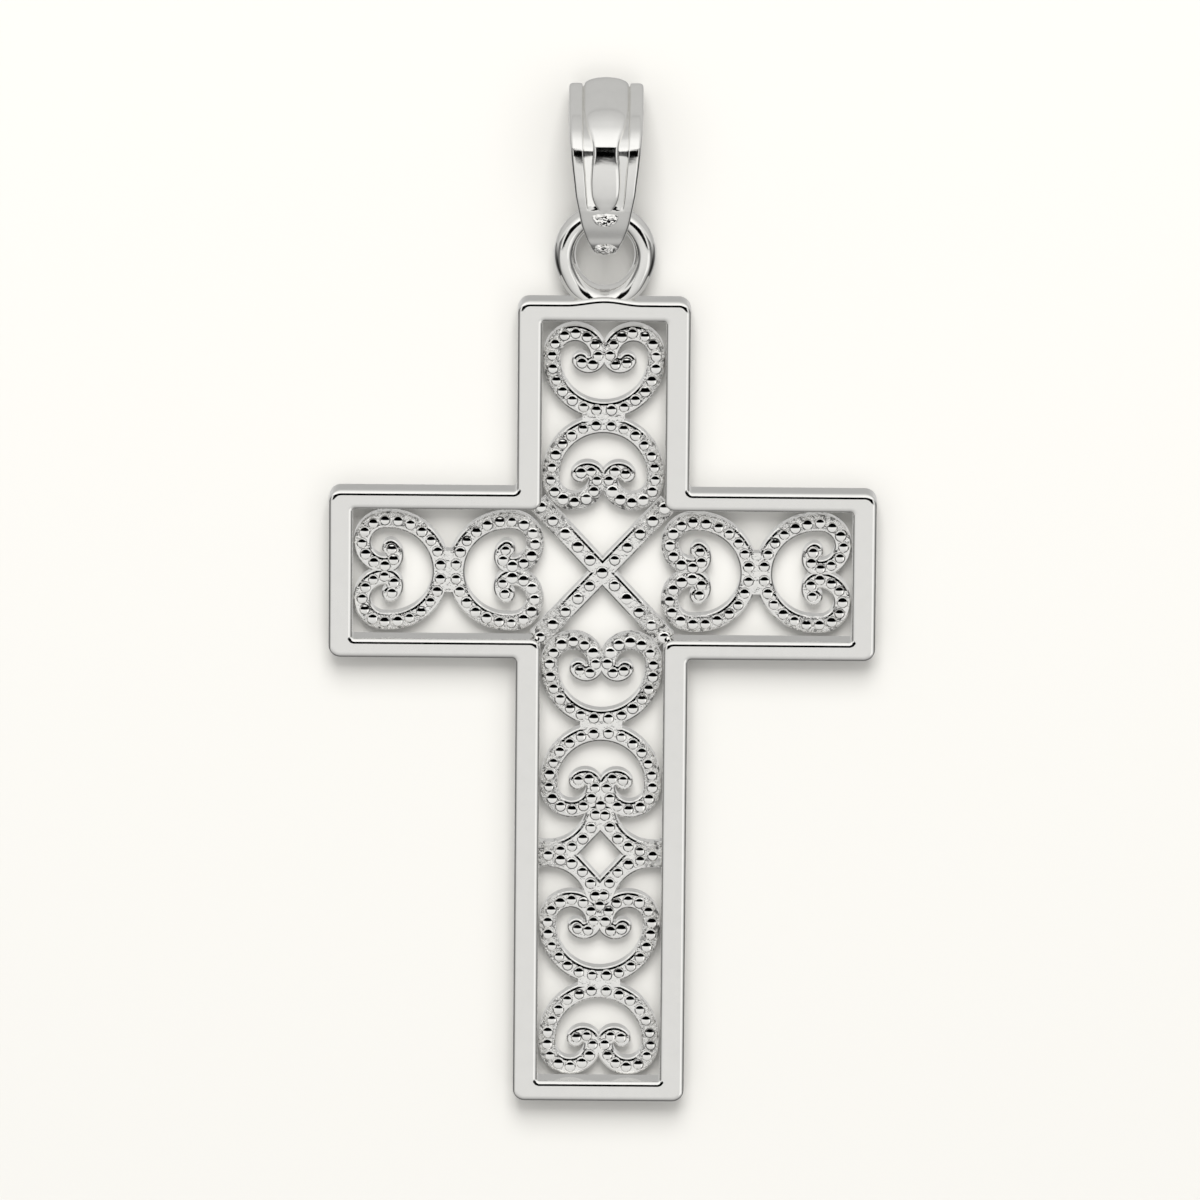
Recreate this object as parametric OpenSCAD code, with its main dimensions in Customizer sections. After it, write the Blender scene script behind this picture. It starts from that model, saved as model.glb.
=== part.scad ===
// Pierced filigree cross charm with a soldered ring and a swinging bail.
// Millimetres. The charm lies on its back: +Z leaves its front face, +Y runs
// from the foot of the cross to the bail, and the origin is on the back face
// where the middle lines of the two beams cross.

/* [Frame] */
// Width of each beam of the cross over its outer faces
beam_w = 5.85; // [5.8:0.01:5.95]
// Width of the cross from arm end to arm end
cross_w = 18.6; // [18.5:0.05:18.9]
// Height of the frame above the crossing
rise_h = 9.55; // [9.5:0.01:9.65]
// Length of the frame below the crossing
foot_h = 18.5; // [18.4:0.05:18.8]
// Thickness of the frame from back to front
frame_t = 1.0; // [0.95:0.05:1.2]
// Thickness of the upright walls
side_wall = 0.825; // [0.8:0.005:0.83]
// Thickness of the level walls along the arms
level_wall = 0.665; // [0.64:0.005:0.69]
// Thickness of the walls that close the two arms
arm_end_wall = 0.8; // [0.75:0.01:0.82]
// Thickness of the walls that close the top and the foot
post_end_wall = 0.71; // [0.68:0.01:0.74]
// Radius of the outer corners
corner_r = 0.4; // [0.2:0.05:0.6]
// Radius of the frame's corners at the crossing, inside the opening
crossing_r = 0.34; // [0.2:0.02:0.4]

/* [Scrollwork] */
// Thickness of the scrollwork, flush with the back of the frame
lace_t = 0.5; // [0.45:0.05:0.6]
// Width of a scroll's ribbon
ribbon_w = 0.58; // [0.54:0.01:0.6]
// Radius of the wide bow of a scroll, on the ribbon's middle line
bow_r = 1.77; // [1.75:0.01:1.79]
// Straight run between a scroll's bow and its lobe
shoulder_l = 0.14; // [0.1:0.01:0.18]
// Radius of a scroll's lobe
lobe_r = 0.785; // [0.76:0.005:0.79]
// Radius of the curl at a scroll's end
curl_r = 0.33; // [0.31:0.01:0.35]
// Angle that the curl turns through
curl_a = 145; // [130:5:160]
// Distance between the two bows of a pair, middle line to middle line
bow_gap = 0.5; // [0.46:0.01:0.54]
// Middle of the pair of hearts in the top arm
pair_top = 5.4; // [5.36:0.01:5.44]
// Middle of the pair of hearts in each side arm
pair_side = 5.235; // [5.2:0.005:5.28]
// Middle of the upper pair of hearts in the lower arm
pair_mid = 5.365; // [5.34:0.005:5.4]
// Middle of the lower pair of hearts in the lower arm
pair_foot = 14.435; // [14.4:0.005:14.46]
// Width of the ribbons of the saltire at the crossing
saltire_w = 0.66; // [0.6:0.02:0.7]
// Half width of the diamond's opening
diamond_u = 0.75; // [0.7:0.01:0.78]
// Half height of the diamond's opening
diamond_v = 0.82; // [0.76:0.01:0.85]
// Radius of the hollows that shape the outside of the diamond
diamond_hollow_r = 1.33; // [1.28:0.01:1.36]

/* [Beads] */
// Diameter of a bead where it meets the ribbon
bead_d = 0.34; // [0.28:0.01:0.36]
// Rise of a bead over the face of the ribbon
bead_rise = 0.085; // [0.06:0.005:0.1]
// Distance from the middle of a heart to its first bead
first_bead = 0.25; // [0.24:0.005:0.26]
// Mean distance between beads along a scroll
bead_pitch = 0.422; // [0.416:0.002:0.424]
// How far the beads are moved on in the middle of a scroll
bead_ease = 0.14; // [0:0.01:0.16]
// Number of beads along a scroll
scroll_beads = 15; // [12:1:15]
// Distance between beads along the saltire
saltire_pitch = 0.62; // [0.6:0.01:0.62]
// Number of beads on each arm of the saltire
saltire_beads = 5; // [3:1:5]

/* [Ring] */
// Inner diameter of the soldered ring
ring_id = 2.0; // [1.9:0.02:2.04]
// Diameter of the ring's wire
wire_d = 0.735; // [0.68:0.005:0.74]
// Depth of the ring in the top of the frame
ring_sink = 0.145; // [0.12:0.005:0.18]
// Height of the ring's middle plane over the back face
ring_z = 0.7; // [0.7:0.01:0.74]

/* [Bail] */
// Thickness of the bail's strap at its side rails, at the top
strap_t = 0.44; // [0.4:0.01:0.46]
// Thickness of the strap where it passes through the ring
strap_waist_t = 0.25; // [0.22:0.01:0.26]
// Half width of a side rail as a share of the strap's half width
rail_share = 0.37; // [0.36:0.01:0.38]

/* [Hidden] */
least_eye = 0.12;                     // half width of the dome where the strap is flat, as a share

half_beam = beam_w / 2;
open_u = half_beam - side_wall;       // half width of the upright opening
open_v = half_beam - level_wall;      // half height of the level opening
open_side = cross_w / 2 - arm_end_wall;
open_top = rise_h - post_end_wall;
open_foot = foot_h - post_end_wall;
wall_lap = 0.02;                      // overlap of pieces that are one metal
seam_lap = 1;                         // degrees by which arcs of a ribbon overlap
round_fn = 72;

lobe_u = bow_r - lobe_r;              // middle of a lobe
lobe_v = bow_r + shoulder_l;
curl_u = bow_r - 2 * lobe_r + curl_r; // middle of a curl
bow_l = bow_r * PI / 2;
lobe_l = lobe_r * PI;
heart_l = lobe_v + lobe_r;            // bow to lobe, middle line to middle line
bead_ball_r = (pow(bead_d / 2, 2) + pow(bead_rise, 2)) / (2 * bead_rise);

// Bridges of solder between the scrollwork and the frame
bridge_l = 1.1;
bridge_t = 0.35;
tip_bridge_l = 0.7;

ring_r = (ring_id + wire_d) / 2;
ring_y = rise_h + ring_r + wire_d / 2 - ring_sink;
solder_rise = 0.13;
solder_r = 1.9;
solder_span = 1.15;                   // half width of the solder at the ring

diamond_y = -(pair_mid + pair_foot) / 2 - 0.02;
diamond_arm_v = 0.44;                 // half height of the diamond at the frame
diamond_hollow_u = 1.8;
diamond_hollow_v = 1.77;
diamond_side_bead = 1.78;             // middle of the bead at each side

// Beads of one quarter of the diamond, from its middle
diamond_beads = [
    // u, v
    [0.15, 1.42],
    [0.32, 0.98],
    [0.60, 0.59],
    [0.97, 0.30],
    [1.36, 0.17]
];

// The bail's outer line over its rails, once round from the tip: up the front
// and down the back. Widths are half widths, t is the strap's thickness as a
// share from waist (0) to full (1), and dome is the rise of the middle rib.
BAIL_Y = 0;
BAIL_Z = 1;
BAIL_W = 2;
BAIL_T = 3;
BAIL_DOME = 4;
BAIL_EYE = 5;
bail_rows = [
    // y, z, half width, t, dome, eye
    [11.20, 0.66, 0.34, 0.00, 0.00, 0.00],
    [11.30, 1.34, 0.36, 0.06, 0.00, 0.00],
    [11.48, 2.02, 0.42, 0.15, 0.00, 0.00],
    [11.74, 2.25, 0.52, 0.24, 0.00, 0.00],
    [12.05, 2.385, 0.67, 0.32, 0.00, 0.00],
    [12.45, 2.56, 0.80, 0.44, 0.00, 0.05],
    [12.98, 2.745, 0.91, 0.58, 0.00, 0.18],
    [13.28, 2.835, 0.965, 0.66, 0.01, 0.34],
    [13.60, 2.910, 1.02, 0.73, 0.02, 0.43],
    [14.05, 2.965, 1.07, 0.84, 0.03, 0.46],
    [14.55, 2.985, 1.13, 0.90, 0.03, 0.42],
    [14.94, 2.978, 1.17, 0.96, 0.03, 0.37],
    [15.08, 2.966, 1.18, 0.97, 0.03, 0.36],
    [15.21, 2.938, 1.19, 0.98, 0.03, 0.36],
    [15.35, 2.893, 1.20, 0.99, 0.04, 0.375],
    [15.62, 2.775, 1.22, 1.00, 0.06, 0.42],
    [15.92, 2.580, 1.24, 1.00, 0.09, 0.50],
    [16.30, 2.240, 1.25, 1.00, 0.15, 0.58],
    [16.59, 1.820, 1.26, 1.00, 0.20, 0.60],
    [16.82, 1.370, 1.26, 1.00, 0.20, 0.60],
    [17.04, 0.920, 1.26, 1.00, 0.20, 0.60],
    [17.00, 0.580, 1.26, 1.00, 0.20, 0.60],
    [16.72, 0.330, 1.25, 1.00, 0.20, 0.60],
    [16.30, 0.25, 1.23, 0.92, 0.20, 0.60],
    [15.50, 0.23, 1.18, 0.75, 0.17, 0.60],
    [14.60, 0.21, 1.08, 0.55, 0.14, 0.60],
    [13.50, 0.12, 0.92, 0.30, 0.06, 0.60],
    [12.60, 0.02, 0.72, 0.05, 0.00, 0.50],
    [11.90, 0.03, 0.54, 0.00, 0.00, 0.20],
    [11.42, 0.24, 0.36, 0.00, 0.00, 0.00]
];
bail_steps = 3;                       // stations from one row to the next

// Ribbon of a scroll: an arc about a middle point
module arc_ribbon(at, r, from, turn) {
    translate([at[0], at[1], 0])
        rotate([0, 0, from - seam_lap])
            rotate_extrude(angle = turn + 2 * seam_lap, $fn = round_fn)
                translate([r - ribbon_w / 2, 0])
                    square([ribbon_w, lace_t]);
}

// One scroll: bow, shoulder, lobe, curl and round end
module scroll() {
    arc_ribbon([0, bow_r], bow_r, -90, 90);
    translate([bow_r - ribbon_w / 2, bow_r - wall_lap, 0])
        cube([ribbon_w, shoulder_l + 2 * wall_lap, lace_t]);
    arc_ribbon([lobe_u, lobe_v], lobe_r, 0, 180);
    arc_ribbon([curl_u, lobe_v], curl_r, 180, curl_a);
    translate(scroll_point(bow_l + shoulder_l + lobe_l + curl_r * curl_a * PI / 180))
        cylinder(d = ribbon_w, h = lace_t, $fn = 36);
}

// Point on a scroll's middle line at a distance s from the heart's middle
function scroll_point(s) =
    s < bow_l ?
        let (a = -90 + s / bow_r * 180 / PI)
            [bow_r * cos(a), bow_r + bow_r * sin(a)] :
    s < bow_l + shoulder_l ?
        [bow_r, bow_r + s - bow_l] :
    s < bow_l + shoulder_l + lobe_l ?
        let (a = (s - bow_l - shoulder_l) / lobe_r * 180 / PI)
            [lobe_u + lobe_r * cos(a), lobe_v + lobe_r * sin(a)] :
        let (a = 180 + (s - bow_l - shoulder_l - lobe_l) / curl_r * 180 / PI)
            [curl_u + curl_r * cos(a), lobe_v + curl_r * sin(a)];

// One bead: a low cap of a ball that is sunk in the face of the scrollwork
module bead(at) {
    translate([at[0], at[1], lace_t + bead_rise - bead_ball_r])
        sphere(r = bead_ball_r, $fn = 32);
}

// Distance of a bead from the heart's middle along its scroll
function bead_run(i) =
    first_bead + i * bead_pitch + bead_ease * sin(180 * i / (scroll_beads - 1));

// One heart of two scrolls, its bow at the origin and its lobes toward +Y
module heart(half_open) {
    for (side = [0, 1])
        mirror([side, 0, 0]) {
            scroll();
            for (i = [0 : scroll_beads - 1])
                bead(scroll_point(bead_run(i)));
            translate([bow_r, lobe_v - bridge_l / 2, 0])
                cube([half_open - bow_r + wall_lap, bridge_l, bridge_t]);
        }
}

// Two hearts bow to bow, along Y
module heart_pair(half_open) {
    for (way = [0, 1])
        mirror([0, way, 0])
            translate([0, bow_gap / 2, 0])
                heart(half_open);
}

// Bridges from the outer lobes of a pair to the wall at the end of an arm
module end_bridges(lobe_top, wall_at) {
    for (side = [-1, 1])
        translate([side * lobe_u - tip_bridge_l / 2, lobe_top, 0])
            cube([tip_bridge_l, wall_at - lobe_top + wall_lap, bridge_t]);
}

// Saltire of two crossed ribbons that fills the middle of the cross
module saltire() {
    reach = sqrt(open_u * open_u + open_v * open_v) + 0.15;
    lean = atan2(open_v, open_u);
    for (way = [0, 1])
        mirror([way, 0, 0])
            rotate([0, 0, lean])
                translate([-reach, -saltire_w / 2, 0])
                    cube([2 * reach, saltire_w, lace_t]);
    bead([0, 0]);
    for (way = [lean, 180 - lean, 180 + lean, -lean])
        for (i = [1 : saltire_beads])
            bead([i * saltire_pitch * cos(way), i * saltire_pitch * sin(way)]);
}

// Pierced diamond between the two middle hearts of the lower arm
module diamond() {
    linear_extrude(lace_t)
        difference() {
            square(2 * [open_u + wall_lap, bow_r], center = true);
            for (u = [-1, 1])
                for (v = [-1, 1])
                    translate([u * diamond_hollow_u, v * diamond_hollow_v])
                        circle(r = diamond_hollow_r, $fn = round_fn);
            for (v = [0, 1])
                mirror([0, v])
                    for (u = [0, 1])
                        mirror([u, 0])
                            translate([diamond_hollow_u, diamond_arm_v])
                                square([open_u, bow_r]);
            polygon([[diamond_u, 0], [0, diamond_v], [-diamond_u, 0], [0, -diamond_v]]);
        }
    for (u = [-1, 1])
        for (v = [-1, 1])
            for (row = diamond_beads)
                bead([u * row[0], v * row[1]]);
    for (u = [-1, 1])
        bead([u * diamond_side_bead, 0]);
    for (v = [-1, 1])
        bead([0, v * bow_r]);
}

// Outline of the frame: two beams with rounded ends
module frame_outline() {
    rounded_beam(cross_w, beam_w, 0);
    rounded_beam(beam_w, rise_h + foot_h, (rise_h - foot_h) / 2);
}

module rounded_beam(w, h, mid_y) {
    translate([0, mid_y]) {
        square([w - 2 * corner_r, h], center = true);
        square([w, h - 2 * corner_r], center = true);
        for (u = [-1, 1])
            for (v = [-1, 1])
                translate([u * (w / 2 - corner_r), v * (h / 2 - corner_r)])
                    circle(r = corner_r, $fn = 48);
    }
}

// Opening of the frame, with the four rounded corners at the crossing
module frame_opening() {
    translate([-open_u, -open_foot])
        square([2 * open_u, open_foot + open_top]);
    translate([-open_side, -open_v])
        square([2 * open_side, 2 * open_v]);
    for (u = [-1, 1])
        for (v = [-1, 1])
            scale([u, v])
                difference() {
                    translate([open_u - wall_lap, open_v - wall_lap])
                        square(crossing_r + wall_lap);
                    translate([open_u + crossing_r, open_v + crossing_r])
                        circle(r = crossing_r, $fn = 48);
                }
}

// The flat frame that the scrollwork is soldered into
module frame() {
    linear_extrude(frame_t)
        difference() {
            frame_outline();
            frame_opening();
        }
}

// Ring on the top of the frame, with its low mound of solder
module ring() {
    translate([0, ring_y, ring_z])
        rotate_extrude($fn = 96)
            translate([ring_r, 0])
                circle(d = wire_d, $fn = 48);
    linear_extrude(frame_t)
        intersection() {
            translate([0, rise_h + solder_rise - solder_r])
                circle(r = solder_r, $fn = round_fn);
            translate([-solder_span, rise_h - post_end_wall / 2])
                square([2 * solder_span, post_end_wall]);
        }
}

// The cross: frame, scrollwork, beads and ring soldered into one piece
module cross() {
    color([0.86, 0.86, 0.87]) {
        frame();
        ring();
        saltire();
        translate([0, pair_top, 0])
            heart_pair(open_u);
        end_bridges(pair_top + bow_gap / 2 + heart_l, open_top);
        for (way = [0, 1])
            mirror([way, 0, 0])
                rotate([0, 0, -90]) {
                    translate([0, pair_side, 0])
                        heart_pair(open_v);
                    end_bridges(pair_side + bow_gap / 2 + heart_l, open_side);
                }
        translate([0, -pair_mid, 0])
            heart_pair(open_u);
        translate([0, -pair_foot, 0])
            heart_pair(open_u);
        mirror([0, 1, 0])
            end_bridges(pair_foot + bow_gap / 2 + heart_l, open_foot);
        translate([0, diamond_y, 0])
            diamond();
    }
}

// Smooth closed curve through rows, for one column
function around(rows, column, i) = rows[(i + len(rows)) % len(rows)][column];
function smooth(rows, column, i, f) =
    let (
        a = around(rows, column, i - 1),
        b = around(rows, column, i),
        c = around(rows, column, i + 1),
        d = around(rows, column, i + 2)
    )
    b + f * ((c - a) / 2 + f * (a - 2.5 * b + 2 * c - d / 2 + f * (b * 1.5 - c * 1.5 + (d - a) / 2)));

// Station of the bail: place, outward normal and section sizes
function bail_station(k) =
    let (
        i = floor(k / bail_steps),
        f = k / bail_steps - i,
        y = smooth(bail_rows, BAIL_Y, i, f),
        z = smooth(bail_rows, BAIL_Z, i, f),
        dy = smooth(bail_rows, BAIL_Y, i, f + 0.01) - y,
        dz = smooth(bail_rows, BAIL_Z, i, f + 0.01) - z,
        run = sqrt(dy * dy + dz * dz),
        share = smooth(bail_rows, BAIL_T, i, f)
    )
    [
        [y, z],
        [-dz / run, dy / run],
        smooth(bail_rows, BAIL_W, i, f),
        strap_waist_t + (strap_t - strap_waist_t) * min(1, max(0, share)),
        max(0, smooth(bail_rows, BAIL_DOME, i, f)),
        smooth(bail_rows, BAIL_EYE, i, f)
    ];

// Eased share of the way from low to high
function ease(low, high, v) =
    let (s = min(1, max(0, (v - low) / (high - low))))
        s * s * (3 - 2 * s);

// Section of the strap as [share of half width, height over the inner face as
// a share of the thickness, share of the dome's rise]; the dome takes the
// share eye of the half width, and the strap is flat where eye is small
function bail_section(eye) =
    let (
        relief = ease(least_eye, 0.34, eye),
        edge = max(least_eye, eye),
        groove = 0.99 - rail_share,
        ledge = min(0.97, 0.77 + 0.8 * (groove - edge)),
        half = [
            [1.00, 0.12, 0],
            [1.00, 0.80, 0],
            [0.93, 1.00, 0],
            [1 - rail_share, 1.00, 0],
            [groove, 1 - (1 - ledge) * relief, 0],
            [edge + 0.008, 1 - 0.23 * relief, 0],
            for (s = [0.7, 0.33])
                let (lift = sqrt(1 - s * s))
                    [s * edge, 1 - 0.16 * (1 - lift) * relief, lift]
        ]
    )
    concat(
        [for (p = half) [-p[0], p[1], p[2]]],
        [[0, 1, 1]],
        [for (i = [len(half) - 1 : -1 : 0]) half[i]],
        [[0.92, 0, 0], [-0.92, 0, 0]]
    );

function bail_ring(station) =
    let (
        at = station[0],
        n = station[1],
        w = station[2],
        t = station[3],
        dome = station[4]
    )
    [for (p = bail_section(station[5]))
        let (out = (p[1] - 1) * t + p[2] * dome)
            [p[0] * w, at[0] + out * n[0], at[1] + out * n[1]]];

// The bail: a closed strap with two side rails and a domed middle rib
module bail() {
    stations = len(bail_rows) * bail_steps;
    sides = len(bail_section(0));
    points = [for (k = [0 : stations - 1]) each bail_ring(bail_station(k))];
    faces = [for (k = [0 : stations - 1], j = [0 : sides - 1])
        let (
            a = k * sides + j,
            b = k * sides + (j + 1) % sides,
            c = ((k + 1) % stations) * sides + (j + 1) % sides,
            d = ((k + 1) % stations) * sides + j
        )
        each [[a, c, b], [a, d, c]]];
    color([0.82, 0.82, 0.83])
        polyhedron(points = points, faces = faces, convexity = 6);
}

cross();
bail();
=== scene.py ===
"""Looks of a pierced filigree cross charm with a soldered ring and a swinging bail.

Every piece is modelled on the bench in millimetres and then brought into the
shared frame in metres. The charm lies on its back: +Z leaves its front face
and +Y runs from the foot of the cross to the bail.
"""

from __future__ import annotations

import logging
import math
import random
from contextlib import contextmanager
from dataclasses import dataclass, field
from enum import Enum
from typing import Callable, Iterator, NamedTuple, Sequence

import bmesh
import bpy
from mathutils import Matrix, Vector, noise

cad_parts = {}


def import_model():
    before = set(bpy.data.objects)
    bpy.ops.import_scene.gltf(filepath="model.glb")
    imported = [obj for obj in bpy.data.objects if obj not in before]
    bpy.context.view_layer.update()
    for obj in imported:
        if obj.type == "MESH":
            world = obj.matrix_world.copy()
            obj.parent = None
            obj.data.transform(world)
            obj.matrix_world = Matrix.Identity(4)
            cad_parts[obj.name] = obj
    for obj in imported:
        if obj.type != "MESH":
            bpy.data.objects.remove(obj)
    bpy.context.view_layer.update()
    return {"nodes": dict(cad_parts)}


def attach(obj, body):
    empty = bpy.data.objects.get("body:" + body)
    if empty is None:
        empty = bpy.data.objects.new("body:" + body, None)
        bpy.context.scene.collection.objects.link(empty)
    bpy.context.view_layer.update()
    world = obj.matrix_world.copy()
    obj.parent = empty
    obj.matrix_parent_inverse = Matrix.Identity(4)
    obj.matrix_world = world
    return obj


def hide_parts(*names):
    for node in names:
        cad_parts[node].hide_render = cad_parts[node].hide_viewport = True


LOG = logging.getLogger("charm")

MM = 0.001
NEAR = 1e-3

Point = tuple[float, float, float]
Colour = tuple[float, float, float]
Span = tuple[float, float]
Pairs = tuple[tuple[float, float], ...]


class Body(Enum):
    """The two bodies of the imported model."""

    CROSS = "cross"
    BAIL = "bail"


class Element(Enum):
    """Mesh elements that a test can pick in edit mode."""

    VERT = "VERT"
    EDGE = "EDGE"
    FACE = "FACE"


class Arm(Enum):
    """The four arms of the cross, by the angle that turns +Y onto them."""

    TOP = 0.0
    LEFT = 90.0
    FOOT = 180.0
    RIGHT = 270.0


def smooth_step(low: float, high: float, value: float) -> float:
    """Eased share of the way from low to high, from 0 to 1."""
    share = min(1.0, max(0.0, (value - low) / (high - low)))
    return share * share * (3.0 - 2.0 * share)


@dataclass(frozen=True)
class Roll:
    """A buffed edge: a wide soft roll off the face, then a tight turn down the wall."""

    soft_r: float
    tight_r: float
    turn: float
    soft_steps: int
    tight_steps: int

    def slopes(self) -> list[tuple[float, float]]:
        """Divides both arcs of the roll into steps.

        Returns:
            Radius and slope in degrees at each step, from the wall to the face.
        """
        tight = [(self.tight_r, 90.0 - (90.0 - self.turn) * k / self.tight_steps)
                 for k in range(1, self.tight_steps + 1)]
        soft = [(self.soft_r, self.turn * (1.0 - k / self.soft_steps))
                for k in range(1, self.soft_steps + 1)]
        return tight + soft

    def moves(self) -> list[tuple[float, float]]:
        """Turns the steps into moves of the edge.

        Returns:
            Inward and upward move of each step, from the wall to the face.
        """
        moves, before = [], math.radians(90.0)
        for radius, slope in self.slopes():
            after = math.radians(slope)
            moves.append((radius * (math.sin(before) - math.sin(after)),
                          radius * (math.cos(after) - math.cos(before))))
            before = after
        return moves


class Facet(NamedTuple):
    """One filed facet: its slope in degrees and its width seen from above."""

    slope: float
    width: float


@dataclass(frozen=True)
class Facets:
    """A filed edge: flat facets between the wall and the face."""

    cuts: tuple[Facet, ...]

    def moves(self) -> list[tuple[float, float]]:
        """Inward and upward move of each facet, from the wall to the face."""
        return [(cut.width, cut.width * math.tan(math.radians(cut.slope))) for cut in self.cuts]


class Bench:
    """Modelling moves made as by hand, on one object at a time."""

    @staticmethod
    def clear() -> None:
        """Leaves edit mode and deselects everything."""
        if bpy.context.object and bpy.context.object.mode != "OBJECT":
            bpy.ops.object.mode_set(mode="OBJECT")
        bpy.ops.object.select_all(action="DESELECT")

    @staticmethod
    def take(piece: bpy.types.Object) -> None:
        """Makes a piece the only selected and the active object."""
        Bench.clear()
        Bench.activate([piece])

    @staticmethod
    def activate(pieces: Sequence[bpy.types.Object]) -> None:
        """Adds pieces to the selection and makes the first of them active.

        Args:
            pieces: The objects.
        """
        for piece in pieces:
            piece.select_set(True)
        bpy.context.view_layer.objects.active = pieces[0]

    @staticmethod
    @contextmanager
    def editing(piece: bpy.types.Object) -> Iterator[None]:
        """Holds a piece in edit mode, with nothing selected at first.

        Args:
            piece: The object to edit.
        """
        Bench.take(piece)
        bpy.ops.object.mode_set(mode="EDIT")
        bpy.ops.mesh.select_mode(type="VERT")
        bpy.ops.mesh.select_all(action="DESELECT")
        yield
        bpy.ops.object.mode_set(mode="OBJECT")

    @staticmethod
    def pick(element: Element, test: Callable[..., bool]) -> None:
        """Selects the elements of the edited mesh that pass a test.

        Args:
            element: The kind of element to pick.
            test: Called with a bmesh element; true picks it.
        """
        bpy.ops.mesh.select_mode(type=element.value)
        bpy.ops.mesh.select_all(action="DESELECT")
        mesh = bpy.context.object.data
        shell = bmesh.from_edit_mesh(mesh)
        parts = {
            Element.VERT: shell.verts,
            Element.EDGE: shell.edges,
            Element.FACE: shell.faces,
        }[element]
        for part in [part for part in parts if test(part)]:
            part.select_set(True)
        shell.select_flush_mode()
        bmesh.update_edit_mesh(mesh)

    @staticmethod
    def extrude(x: float, y: float, z: float) -> None:
        """Extrudes what is selected by a distance along each axis."""
        bpy.ops.mesh.extrude_region_move(TRANSFORM_OT_translate={"value": (x, y, z)})

    @staticmethod
    def spin(middle: Point, degrees: float, steps: int) -> None:
        """Spins the selection about an upright axis.

        Args:
            middle: A point on the axis.
            degrees: The angle, anticlockwise seen from above.
            steps: The number of steps.
        """
        bpy.ops.mesh.spin(steps=steps, angle=-math.radians(degrees), center=middle,
                          axis=(0.0, 0.0, 1.0))

    @staticmethod
    def roll_top(piece: bpy.types.Object, roll: Roll | Facets, facing_up: float = 0.9) -> None:
        """Rolls the edges of a closed piece's flat top, keeping its height.

        Args:
            piece: The object.
            roll: The roll or the facets.
            facing_up: Least upward part of the normal of the top's faces.
        """
        top = max(vert.co.z for vert in piece.data.vertices)
        drop = sum(rise for _, rise in roll.moves())
        with Bench.editing(piece):
            Bench.pick(Element.VERT, lambda vert: vert.co.z > top - NEAR)
            bpy.ops.transform.translate(value=(0.0, 0.0, -drop))
            Bench.pick(Element.FACE, lambda face: face.normal.z > facing_up)
            for inward, rise in roll.moves():
                bpy.ops.mesh.inset(thickness=inward, depth=rise, use_even_offset=True)

    @staticmethod
    def face_out() -> None:
        """Turns all faces of the edited mesh outwards."""
        bpy.ops.mesh.select_all(action="SELECT")
        bpy.ops.mesh.normals_make_consistent(inside=False)

    @staticmethod
    def tidy(gap: float = 1e-4) -> None:
        """Merges doubles of the edited mesh and turns its faces outwards.

        Args:
            gap: The distance under which vertices are doubles.
        """
        bpy.ops.mesh.select_all(action="SELECT")
        bpy.ops.mesh.remove_doubles(threshold=gap)
        Bench.face_out()

    @staticmethod
    def modify(piece: bpy.types.Object, kind: str, **settings: object) -> None:
        """Adds a modifier with its settings and applies it.

        Args:
            piece: The object to change.
            kind: Blender's name of the modifier.
            **settings: The modifier's settings.
        """
        Bench.take(piece)
        change = piece.modifiers.new(kind.lower(), kind)
        for name, value in settings.items():
            setattr(change, name, value)
        bpy.ops.object.modifier_apply(modifier=change.name)

    @staticmethod
    def copy(piece: bpy.types.Object, place: Matrix) -> bpy.types.Object:
        """Copies a piece with its own mesh, and moves the copy's mesh.

        Args:
            piece: The object to copy.
            place: The move, turn or mirror of the copy.

        Returns:
            The copy.
        """
        twin = piece.copy()
        twin.data = piece.data.copy()
        bpy.context.scene.collection.objects.link(twin)
        twin.data.transform(place)
        if place.determinant() < 0:
            with Bench.editing(twin):
                Bench.face_out()
        return twin

    @staticmethod
    def join(pieces: Sequence[bpy.types.Object]) -> bpy.types.Object:
        """Joins pieces into the first of them.

        Args:
            pieces: The objects.

        Returns:
            The first piece, with all the others in it.
        """
        Bench.clear()
        Bench.activate(pieces)
        bpy.ops.object.join()
        return pieces[0]

    @staticmethod
    def fuse(pieces: Sequence[bpy.types.Object]) -> bpy.types.Object:
        """Unites closed pieces into one closed shell.

        Args:
            pieces: The objects; the first is kept and the others are used up.

        Returns:
            The first piece, with all the others united with it.
        """
        base = pieces[0]
        for other in pieces[1:]:
            Bench.modify(base, "BOOLEAN", operation="UNION", solver="MANIFOLD",
                         object=other)
            bpy.data.objects.remove(other)
        return base

    @staticmethod
    def carve(base: bpy.types.Object, cutter: bpy.types.Object) -> None:
        """Cuts one closed piece out of another and uses it up."""
        Bench.modify(base, "BOOLEAN", operation="DIFFERENCE", solver="MANIFOLD", object=cutter)
        bpy.data.objects.remove(cutter)

    @staticmethod
    def settle(piece: bpy.types.Object) -> bpy.types.Object:
        """Moves an object's place into its mesh and returns the object."""
        bpy.ops.object.transform_apply(location=True, rotation=False, scale=False)
        return piece

    @staticmethod
    def shade(piece: bpy.types.Object, degrees: float) -> None:
        """Shades a piece smooth, with edges past an angle left sharp."""
        Bench.take(piece)
        bpy.ops.object.shade_smooth_by_angle(angle=math.radians(degrees))

    @staticmethod
    def weigh_normals(piece: bpy.types.Object, weight: int = 80) -> None:
        """Keeps wide flat faces flat beside small rounded ones."""
        Bench.modify(piece, "WEIGHTED_NORMAL", mode="FACE_AREA", weight=weight,
                     keep_sharp=True)

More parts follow.
